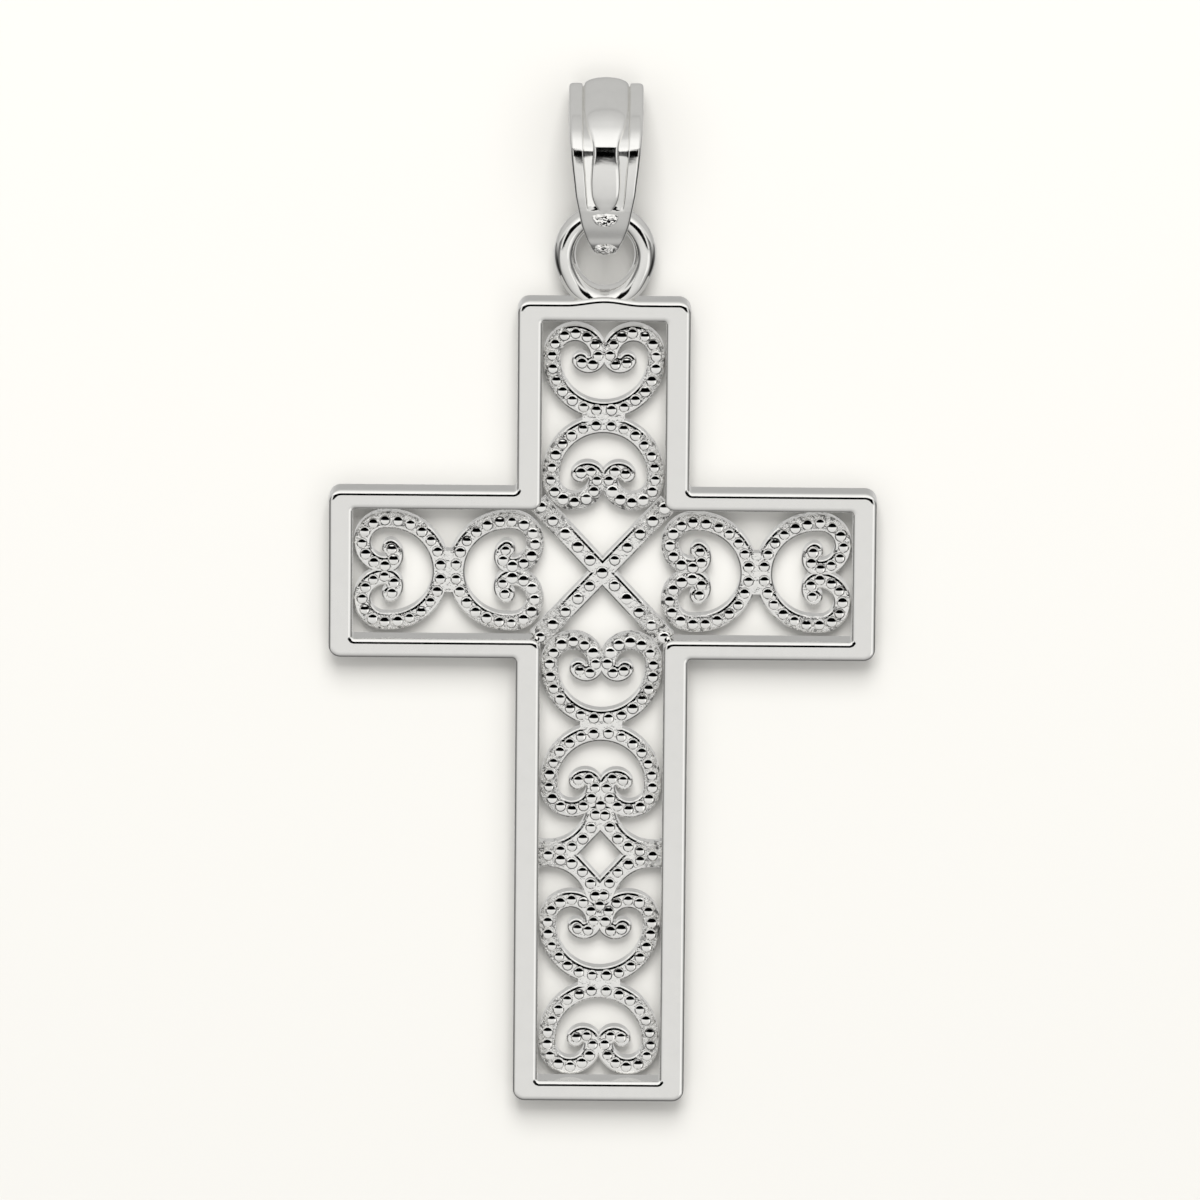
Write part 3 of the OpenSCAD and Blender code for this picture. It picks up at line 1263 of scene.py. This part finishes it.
    def diamond(self) -> bpy.types.Object:
        """Builds the pierced diamond with its four hollowed sides.

        Returns:
            The diamond as one closed shell.
        """
        side = self.frame.open_u + self.diamond_lap
        plate = self.block((-side, -self.scroll.bow_r), (side, self.scroll.bow_r))
        for u in (-1, 1):
            for v in (-1, 1):
                Bench.carve(plate, self.hollow(u * self.hollow_u, v * self.hollow_v))
        Bench.carve(plate, self.window())
        Bench.roll_top(plate, self.roll)
        plate.data.transform(Matrix.Translation((0.0, self.diamond_y, 0.0)))
        return plate

    def lattice(self) -> bpy.types.Object:
        """Unites all ribbons.

        Returns:
            The scrollwork as one closed shell.
        """
        pair = self.pair()
        pieces = [self.saltire(), self.diamond()]
        pieces += [Bench.copy(pair, place) for place in self.pair_places()]
        bpy.data.objects.remove(pair)
        lace = Bench.fuse(pieces)
        with Bench.editing(lace):
            Bench.tidy(2 * NEAR)
            bpy.ops.mesh.dissolve_limited(angle_limit=math.radians(self.flat_degrees))
        return lace

    def build(self, finish: bpy.types.Material) -> bpy.types.Object:
        """Builds and dresses the ribbons.

        Args:
            finish: The satin.

        Returns:
            The finished piece.
        """
        lace = self.lattice()
        Bench.shade(lace, self.shade_degrees)
        Bench.weigh_normals(lace)
        return Bench.deliver(lace, "scrollwork", Body.CROSS, finish)


@dataclass
class Beading:
    """The beads on the face of the ribbons, each set a little uneven by hand."""

    lace: Scrollwork
    bead: Bead = field(default_factory=Bead)
    pitch: float = 0.422
    first: float = 0.25
    ease: float = 0.14
    a_scroll: int = 15
    saltire_pitch: float = 0.62
    saltire_count: int = 5
    diamond_quarter: Pairs = (
        (0.15, 1.42), (0.32, 0.98), (0.60, 0.59), (0.97, 0.30), (1.36, 0.17))
    diamond_side: float = 1.78
    seed: int = 41
    size_spread: Span = (0.93, 1.07)
    rise_spread: Span = (0.85, 1.2)
    shift: float = 0.014
    tilt: float = 1.3
    turn: float = 6.28
    crossing_reach: float = 3.2
    crossing_size: float = 1.08
    crossing_rise: float = 0.8
    shade_degrees: float = 14.0

    def on_hearts(self) -> list[Vector]:
        """Works out the places of the beads of all hearts.

        Returns:
            The places, pair by pair.
        """
        scroll, last = self.lace.scroll, self.a_scroll - 1
        quarter = []
        for i in range(self.a_scroll):
            ease = self.ease * math.sin(math.pi * i / last)
            u, v = scroll.point(self.first + i * self.pitch + ease)
            quarter.append((u, v + self.lace.bow_gap / 2))
        return [place @ Vector((x * u, y * v, 0.0)) for place in self.lace.pair_places()
                for u, v in quarter for x in (-1, 1) for y in (-1, 1)]

    def on_saltire(self) -> list[Vector]:
        """Works out the places of the beads of the saltire.

        Returns:
            The middle, then the places along each of the four ways out.
        """
        lean = self.lace.saltire_lean
        spots = [Vector()]
        for way in (lean, math.pi - lean, math.pi + lean, -lean):
            for i in range(1, self.saltire_count + 1):
                run = i * self.saltire_pitch
                spots.append(Vector((run * math.cos(way), run * math.sin(way), 0.0)))
        return spots

    def on_diamond(self) -> list[Vector]:
        """Works out the places of the beads of the diamond.

        Returns:
            The places along its four sides, then those on its tips.
        """
        middle = Vector((0.0, self.lace.diamond_y, 0.0))
        spots = [Vector((x * u, y * v, 0.0)) for u, v in self.diamond_quarter
                 for x in (-1, 1) for y in (-1, 1)]
        spots += [Vector((x * self.diamond_side, 0.0, 0.0)) for x in (-1, 1)]
        spots += [Vector((0.0, y * self.lace.scroll.bow_r, 0.0)) for y in (-1, 1)]
        return [middle + spot for spot in spots]

    def set_bead(self, model: bpy.types.Object, spot: Vector,
                 hand: random.Random) -> bpy.types.Object:
        """Sets one bead, a little off in size, place and angle.

        Args:
            model: The bead to copy.
            spot: Its place.
            hand: The random draws.

        Returns:
            The bead.
        """
        size = hand.uniform(*self.size_spread)
        rise = hand.uniform(*self.rise_spread)
        if spot.length < self.crossing_reach:
            size, rise = size * self.crossing_size, rise * self.crossing_rise
        shift = Vector((hand.uniform(-self.shift, self.shift),
                        hand.uniform(-self.shift, self.shift), self.lace.scroll.thick))
        place = Matrix.Translation(spot + shift)
        for axis in "XY":
            place @= Matrix.Rotation(math.radians(hand.gauss(0.0, self.tilt)), 4, axis)
        place @= Matrix.Rotation(hand.uniform(0.0, self.turn), 4, "Z")
        return Bench.copy(model, place @ Matrix.Diagonal((size, size, rise, 1.0)))

    def build(self, finish: bpy.types.Material) -> bpy.types.Object:
        """Builds and dresses the beads.

        Args:
            finish: The burnish.

        Returns:
            The finished piece.
        """
        model, hand = self.bead.build(), random.Random(self.seed)
        spots = self.on_hearts() + self.on_saltire() + self.on_diamond()
        beads = Bench.join([self.set_bead(model, spot, hand) for spot in spots])
        bpy.data.objects.remove(model)
        Bench.shade(beads, self.shade_degrees)
        return Bench.deliver(beads, "beading", Body.CROSS, finish)


@dataclass
class Ring:
    """The round wire ring soldered on top of the frame, where it flares and sags."""

    inner_d: float = 2.0
    wire_d: float = 0.735
    middle: Point = (0.0, 11.14, 0.7)
    round_steps: int = 120
    wire_steps: int = 36
    flare: float = 0.06
    flare_start: float = 0.25
    flare_reach: float = 0.75
    low_power: float = 2.5
    sag: float = 0.16
    dip: float = 0.20
    cant: float = 0.3
    shade_degrees: float = 60.0

    @property
    def major(self) -> float:
        """Radius of the wire's middle line."""
        return (self.inner_d + self.wire_d) / 2

    def solder_on(self, ring: bpy.types.Object) -> None:
        """Flares the wire at the frame, and lowers the ring's foot into the solder.

        Args:
            ring: The even ring.
        """
        middle = Vector(self.middle)
        foot = middle.y - self.major
        for vert in ring.data.vertices:
            spoke = vert.co - middle
            spoke.z = 0.0
            spoke.normalize()
            core = middle + spoke * self.major
            outward = (vert.co - core).normalized()
            near = 1.0 - smooth_step(self.flare_start, self.flare_reach, core.y - foot)
            vert.co += outward * self.flare * near * max(0.0, outward.dot(spoke))
            low = max(0.0, -spoke.y) ** self.low_power
            vert.co.z -= self.dip * low + self.cant * low * (vert.co.y - core.y)
            vert.co.y -= self.sag * low

    def build(self, finish: bpy.types.Material) -> bpy.types.Object:
        """Builds and dresses the ring.

        Args:
            finish: The polish.

        Returns:
            The finished piece.
        """
        bpy.ops.mesh.primitive_torus_add(
            location=self.middle, major_radius=self.major, minor_radius=self.wire_d / 2,
            major_segments=self.round_steps, minor_segments=self.wire_steps)
        ring = Bench.settle(bpy.context.object)
        self.solder_on(ring)
        Bench.shade(ring, self.shade_degrees)
        return Bench.deliver(ring, "soldered_ring", Body.CROSS, finish)


class Station(NamedTuple):
    """A cross section of the bail's strap, at its place on the closed line.

    Stoutness runs from 0 at the waist to 1 at the full thickness, dome is the
    rib's rise, and eye is the share of the half width that the rib takes.
    """

    y: float
    z: float
    half_w: float
    stout: float
    dome: float
    eye: float


@dataclass
class Bail:
    """The swinging bail: a closed strap with two rails and a domed rib."""

    strap_t: float = 0.44
    waist_t: float = 0.25
    groove: float = 0.62
    least_eye: float = 0.12
    full_eye: float = 0.39
    lip: float = 0.026
    lip_h: float = 0.95
    groove_wall: float = 0.01
    groove_deep: float = 0.07
    ledge_gap: float = 0.008
    ledge_h: float = 0.77
    ledge_slope: float = 0.8
    ledge_most: float = 0.97
    dome_h: float = 0.84
    dome_shares: tuple[float, ...] = (1.0, 0.96, 0.88, 0.76, 0.62, 0.46, 0.3, 0.15)
    back_shares: tuple[float, ...] = (0.6, 0.3, 0.0, -0.3, -0.6)
    rail: Pairs = (
        (0.90, 0.00), (0.97, 0.02), (1.00, 0.10), (1.00, 0.45), (0.998, 0.68), (0.985, 0.84),
        (0.955, 0.94), (0.915, 0.985), (0.87, 1.00), (0.78, 1.00), (0.70, 1.00), (0.67, 0.985),
    )
    rail_inside: float = 0.8
    core_h: float = 0.5
    stations_a_row: int = 8
    look_ahead: float = 0.01
    shade_degrees: float = 70.0
    rows: tuple[Station, ...] = tuple(Station(*row) for row in (
        (11.20, 0.66, 0.34, 0.00, 0.00, 0.00),
        (11.30, 1.34, 0.36, 0.06, 0.00, 0.00),
        (11.48, 2.02, 0.42, 0.15, 0.00, 0.00),
        (11.74, 2.25, 0.52, 0.24, 0.00, 0.00),
        (12.05, 2.385, 0.67, 0.32, 0.00, 0.00),
        (12.45, 2.56, 0.80, 0.44, 0.00, 0.05),
        (12.98, 2.745, 0.91, 0.58, 0.00, 0.12),
        (13.12, 2.790, 0.935, 0.62, 0.005, 0.26),
        (13.28, 2.835, 0.965, 0.66, 0.01, 0.38),
        (13.60, 2.910, 1.02, 0.73, 0.02, 0.45),
        (14.05, 2.965, 1.07, 0.84, 0.03, 0.46),
        (14.55, 2.985, 1.13, 0.90, 0.03, 0.42),
        (14.94, 2.978, 1.17, 0.96, 0.03, 0.37),
        (15.08, 2.966, 1.18, 0.97, 0.03, 0.36),
        (15.21, 2.938, 1.19, 0.98, 0.03, 0.36),
        (15.35, 2.893, 1.20, 0.99, 0.04, 0.375),
        (15.62, 2.775, 1.22, 1.00, 0.06, 0.42),
        (15.92, 2.580, 1.24, 1.00, 0.09, 0.50),
        (16.30, 2.240, 1.25, 1.00, 0.15, 0.58),
        (16.59, 1.820, 1.26, 1.00, 0.20, 0.60),
        (16.82, 1.370, 1.26, 1.00, 0.20, 0.60),
        (17.04, 0.920, 1.26, 1.00, 0.20, 0.60),
        (17.00, 0.580, 1.26, 1.00, 0.20, 0.60),
        (16.72, 0.330, 1.25, 1.00, 0.20, 0.60),
        (16.30, 0.25, 1.23, 0.92, 0.20, 0.60),
        (15.50, 0.23, 1.18, 0.75, 0.17, 0.60),
        (14.60, 0.21, 1.08, 0.55, 0.14, 0.60),
        (13.50, 0.12, 0.92, 0.30, 0.06, 0.60),
        (12.60, 0.02, 0.72, 0.05, 0.00, 0.50),
        (11.90, 0.03, 0.54, 0.00, 0.00, 0.20),
        (11.42, 0.24, 0.36, 0.00, 0.00, 0.00),
    ))

    def around(self, turn: float) -> Station:
        """Interpolates the rows at a place along the closed line.

        Args:
            turn: Place along the line, in rows.

        Returns:
            The smoothly interpolated row.
        """
        i = math.floor(turn)
        f = turn - i
        near = [self.rows[(i + k) % len(self.rows)] for k in (-1, 0, 1, 2)]
        return Station(*(b + f * ((c - a) / 2 + f * (a - 2.5 * b + 2 * c - d / 2
                                                     + f * (1.5 * (b - c) + (d - a) / 2)))
                         for a, b, c, d in zip(*near)))

    def section(self, eye: float) -> list[Point]:
        """Works out the section of the strap, once round.

        Args:
            eye: Share of the half width that the rib takes; small where the strap is flat.

        Returns:
            Points of share of half width, share of the thickness and share of the dome.
        """
        groove, edge = self.groove, max(self.least_eye, eye)
        ledge = min(self.ledge_most, self.ledge_h + self.ledge_slope * (groove - edge))
        half = [(x, h, 0.0) for x, h in self.rail]
        half += [(groove + self.lip, self.lip_h, 0.0),
                 (groove + self.groove_wall, ledge - self.groove_deep, 0.0),
                 (groove - self.ledge_gap, ledge, 0.0),
                 ((groove + edge) / 2, (ledge + self.ledge_h) / 2, 0.0),
                 (edge + self.ledge_gap, self.ledge_h, 0.0)]
        for share in self.dome_shares:
            lift = math.sqrt(1.0 - share ** 2)
            half.append((share * edge, self.dome_h + (1.0 - self.dome_h) * lift, lift))
        relief = smooth_step(self.least_eye, self.full_eye, eye)
        half = [(x, 1.0 - (1.0 - h) * relief if h >= self.core_h and x < self.rail_inside else h,
                 lift) for x, h, lift in half]
        right = [(-x, h, lift) for x, h, lift in half]
        back = [(x, 0.0, 0.0) for x in self.back_shares]
        return right + [(0.0, 1.0, 1.0)] + half[::-1] + back

    def ring_points(self, turn: float) -> list[Vector]:
        """Places the section at one place along the closed line.

        Args:
            turn: Place along the line, in rows.

        Returns:
            The section's points in space.
        """
        here, ahead = self.around(turn), self.around(turn + self.look_ahead)
        dy, dz = ahead.y - here.y, ahead.z - here.z
        run = math.hypot(dy, dz)
        stout = min(1.0, max(0.0, here.stout))
        thick = self.waist_t + (self.strap_t - self.waist_t) * stout
        points = []
        for across, height, crown in self.section(here.eye):
            out = (height - 1.0) * thick + crown * max(0.0, here.dome)
            points.append(Vector((across * here.half_w, here.y - out * dz / run,
                                  here.z + out * dy / run)))
        return points

    def build(self, finish: bpy.types.Material) -> bpy.types.Object:
        """Builds and dresses the bail.

        Args:
            finish: The polish.

        Returns:
            The finished piece.
        """
        sides, stations = len(self.section(0.0)), len(self.rows) * self.stations_a_row
        bpy.ops.mesh.primitive_torus_add(major_segments=stations, minor_segments=sides)
        strap = bpy.context.object
        points = [point for k in range(stations)
                  for point in self.ring_points(k / self.stations_a_row)]
        for vert, point in zip(strap.data.vertices, points):
            vert.co = point
        with Bench.editing(strap):
            Bench.face_out()
        Bench.shade(strap, self.shade_degrees)
        return Bench.deliver(strap, "swinging_bail", Body.BAIL, finish)


class Lump(NamedTuple):
    """A lump of solder: its middle, its radii and its lean about X in degrees."""

    middle: Point
    radii: Point
    lean: float


@dataclass
class Solder:
    """The rough solder on the bail's front: its closing seam and a patch above."""

    seam: Lump = Lump(middle=(0.0, 11.66, 2.12), radii=(0.43, 0.24, 0.24), lean=-45.0)
    patch: Lump = Lump(middle=(0.0, 12.86, 2.70), radii=(0.44, 0.36, 0.075), lean=-20.0)
    fineness: int = 5
    grain: float = 0.024
    grain_per_mm: float = 9.5
    fine_grain: float = 0.6
    fine_scale: float = 2.3
    shade_degrees: float = 75.0

    def cast(self, lump: Lump) -> bpy.types.Object:
        """Casts one rough lump.

        Args:
            lump: Its place and size.

        Returns:
            The lump.
        """
        bpy.ops.mesh.primitive_ico_sphere_add(subdivisions=self.fineness, radius=1.0)
        piece = bpy.context.object
        turned = Matrix.Rotation(math.radians(lump.lean), 3, "X")
        for vert in piece.data.vertices:
            ball = vert.co.copy()
            vert.co = turned @ (ball * Vector(lump.radii)) + Vector(lump.middle)
            grains = vert.co * self.grain_per_mm
            rough = noise.noise(grains) + self.fine_grain * noise.noise(grains * self.fine_scale)
            vert.co += (turned @ ball) * rough * self.grain
        return piece

    def build(self, finish: bpy.types.Material) -> bpy.types.Object:
        """Builds and dresses the lumps.

        Args:
            finish: The polish.

        Returns:
            The finished piece.
        """
        solder = Bench.join([self.cast(self.seam), self.cast(self.patch)])
        Bench.shade(solder, self.shade_degrees)
        return Bench.deliver(solder, "bail_solder", Body.BAIL, finish)


@dataclass(frozen=True)
class Tent:
    """A white light tent with a dark slot for the camera.

    Its brightness is given in stops around the X axis: angles in degrees from
    the camera's line toward the bail, and levels. What is brighter than the even
    level fades toward the ends of the X axis, where the slot ends too, and a
    window stands at the right on the foot's side. Away from the bail's side, the
    whole tent fades by the rim's stops, from 0 in its middle to 1 at an end.
    """

    tilt: float
    colour: Colour = (1.0, 0.994, 0.975)
    slot: Span = (-21.0, 3.0)
    slot_edge: float = 2.0
    slot_tones: Span = (0.83, 1.12)
    foot_stops: Pairs = (
        (-180.0, 0.62), (-136.0, 0.26), (-118.0, 0.07), (-92.0, 0.08), (-80.0, 0.28),
        (-70.0, 0.47), (-58.0, 0.60), (-45.0, 0.70), (-27.0, 0.79),
    )
    bail_stops: Pairs = (
        (20.0, 1.05), (28.0, 0.96), (35.0, 0.84), (42.0, 0.70), (50.0, 0.62), (60.0, 0.57),
        (66.0, 0.51), (72.0, 0.57), (92.0, 0.57), (110.0, 0.56), (132.0, 0.54), (146.0, 0.48),
        (154.0, 0.45), (164.0, 0.54), (180.0, 0.62),
    )
    rim_stops: Pairs = (
        (0.0, 1.0), (0.72, 1.0), (0.80, 0.4), (0.86, 0.25), (0.94, 0.25), (0.98, 0.6), (1.0, 0.95),
    )
    rim_end: Span = (0.0, 12.0)
    window_start: Span = (-70.0, -50.0)
    window_end: Span = (-27.0, -22.0)
    window_side: Span = (0.3, 0.42)
    slot_side: Span = (0.52, 0.62)
    dark: float = 0.05
    even_level: float = 0.72
    bright_side: Span = (0.5, 0.85)

    def stops(self) -> list[tuple[float, float]]:
        """Puts the stops of both sides and the slot between them in order.

        Returns:
            Angles, as shares of a full turn, and levels.
        """
        (start, end), (before, after) = self.slot, self.slot_tones
        slot = ((start - self.slot_edge, before), (start, 0.0), (end, 0.0),
                (end + self.slot_edge, after))
        return [((angle + 180.0) / 360.0, level)
                for angle, level in self.foot_stops + slot + self.bail_stops]

    def level(self, nodes: Nodes) -> bpy.types.NodeSocket:
        """Works out the brightness of the tent in a direction.

        Args:
            nodes: The world's nodes.

        Returns:
            The brightness's output.
        """
        way = nodes.axes("Generated")
        side = nodes.math("ABSOLUTE", way["X"])
        lean = nodes.math("ARCTAN2", way["Y"], way["Z"])
        turn = nodes.math("SUBTRACT", nodes.times(lean, 180.0 / math.pi), self.tilt)
        share = nodes.math("DIVIDE", nodes.math("ADD", turn, 180.0), 360.0)
        level = nodes.ramp(share, self.stops())
        slot_ends = nodes.times(nodes.math("LESS_THAN", level, self.dark),
                                nodes.rise(side, *self.slot_side))
        window = nodes.times(nodes.rise(turn, *self.window_start),
                             nodes.span(turn, self.window_end, (1.0, 0.0)))
        window = nodes.times(nodes.rise(way["X"], *self.window_side), window)
        level = nodes.math("MAXIMUM", nodes.math("ADD", level, slot_ends), window)
        even = nodes.math("MINIMUM", level, self.even_level)
        bright = nodes.times(nodes.math("SUBTRACT", level, even),
                             nodes.span(side, self.bright_side, (1.0, 0.0)))
        rim = nodes.math("MAXIMUM", nodes.ramp(side, self.rim_stops),
                         nodes.rise(turn, *self.rim_end))
        return nodes.times(nodes.math("ADD", even, bright), rim)

    def pitch(self) -> None:
        """Makes the tent the scene's world."""
        world = bpy.data.worlds.new("light_tent")
        bpy.context.scene.world = world
        world.use_nodes = True
        nodes = Nodes(world.node_tree)
        glow = nodes.add("ShaderNodeBackground")
        glow.inputs["Color"].default_value = (*self.colour, 1.0)
        nodes.wire(self.level(nodes), glow.inputs["Strength"])
        out = nodes.add("ShaderNodeOutputWorld")
        nodes.wire(glow.outputs[0], out.inputs["Surface"])


@dataclass(frozen=True)
class Panel:
    """A light panel that the metal doesn't mirror, in metres, watts and degrees.

    It hangs at a height above the charm and leans from there toward the bail.
    """

    name: str
    size: Span
    energy: float
    height: float
    lean: float = 0.0
    colour: Colour = (1.0, 0.99, 0.97)

    def hang(self) -> None:
        """Hangs the panel."""
        light = bpy.data.lights.new(self.name, "AREA")
        light.shape = "RECTANGLE"
        light.size, light.size_y = self.size
        light.energy = self.energy
        light.color = self.colour
        lamp = bpy.data.objects.new(self.name, light)
        bpy.context.scene.collection.objects.link(lamp)
        lamp.matrix_world = (Matrix.Rotation(-math.radians(self.lean), 4, "X")
                             @ Matrix.Translation((0.0, 0.0, self.height)))
        lamp.visible_glossy = False
        lamp.visible_camera = False


@dataclass
class Studio:
    """Pale floor, soft studio light and the camera."""

    tilt: float = 13.5
    roll: float = 0.47
    distance: float = 0.58
    view_w: float = 0.0408
    sensor_w: float = 36.0
    clip: Span = (0.01, 10.0)
    aim: Point = (-0.075, -0.84, 1.0)
    floor_half: float = 0.6
    floor_drop: float = 2e-5
    floor_tone: Colour = (0.62, 0.614, 0.596)
    floor_rough: float = 0.9
    panels: tuple[Panel, ...] = (
        Panel("key", size=(0.26, 0.3), energy=2.65, height=0.5, lean=44.0),
        Panel("fill", size=(1.4, 1.4), energy=3.6, height=0.7),
    )

    def camera(self) -> None:
        """Sets the camera at the photograph's viewing angle."""
        lens = bpy.data.cameras.new("camera")
        lens.sensor_width = self.sensor_w
        lens.lens = self.sensor_w * self.distance / self.view_w
        lens.clip_start, lens.clip_end = self.clip
        eye = bpy.data.objects.new("camera", lens)
        bpy.context.scene.collection.objects.link(eye)
        lean = math.radians(self.tilt)
        back = Vector((0.0, math.sin(lean), math.cos(lean)))
        up = Vector((0.0, math.cos(lean), -math.sin(lean)))
        turned = Matrix.Rotation(math.radians(self.roll), 3, back)
        up = turned @ up
        right = up.cross(back)
        frame = Matrix((right, up, back)).transposed().to_4x4()
        frame.translation = Vector(self.aim) * MM + back * self.distance
        eye.matrix_world = frame
        bpy.context.scene.camera = eye

    def floor(self) -> None:
        """Lays the pale floor under the charm."""
        bpy.ops.mesh.primitive_plane_add(size=2 * self.floor_half,
                                         location=(0.0, 0.0, -self.floor_drop))
        sheet = bpy.context.object
        sheet.name = "floor"
        paper = bpy.data.materials.new("paper")
        paper.use_nodes = True
        skin = paper.node_tree.nodes["Principled BSDF"]
        skin.inputs["Base Color"].default_value = (*self.floor_tone, 1.0)
        skin.inputs["Roughness"].default_value = self.floor_rough
        skin.inputs["Specular IOR Level"].default_value = 0.0
        sheet.data.materials.append(paper)
        sheet.visible_glossy = False

    def build(self) -> None:
        """Sets up the whole studio."""
        self.camera()
        self.floor()
        Tent(self.tilt).pitch()
        for panel in self.panels:
            panel.hang()
        view = bpy.context.scene.view_settings
        view.view_transform = "Standard"
        view.look = "None"


def main() -> None:
    """Builds the charm's pieces in order and sets up the studio."""
    logging.basicConfig(level=logging.INFO, format="%(name)s: %(message)s")
    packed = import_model()
    LOG.info("packed nodes: %s", sorted(packed["nodes"]))
    Studio().build()
    frame = Frame()
    lace = Scrollwork(frame)
    polish = MirrorPolish().make()
    # The beads' steep foot gets painted shade, down to a tenth of the colour.
    burnish = MirrorPolish("burnished_silver", (0.99, 0.985, 0.97), rough=0.02,
                           edge_shade_tone=0.1).make()
    satin = CastSatin(walls=(frame.open_u, frame.open_v)).make()
    frame.build(polish)
    lace.build(satin)
    Beading(lace).build(burnish)
    Ring().build(polish)
    Bail().build(polish)
    Solder().build(polish)
    Bench.clear()


if __name__ == "__main__":
    main()
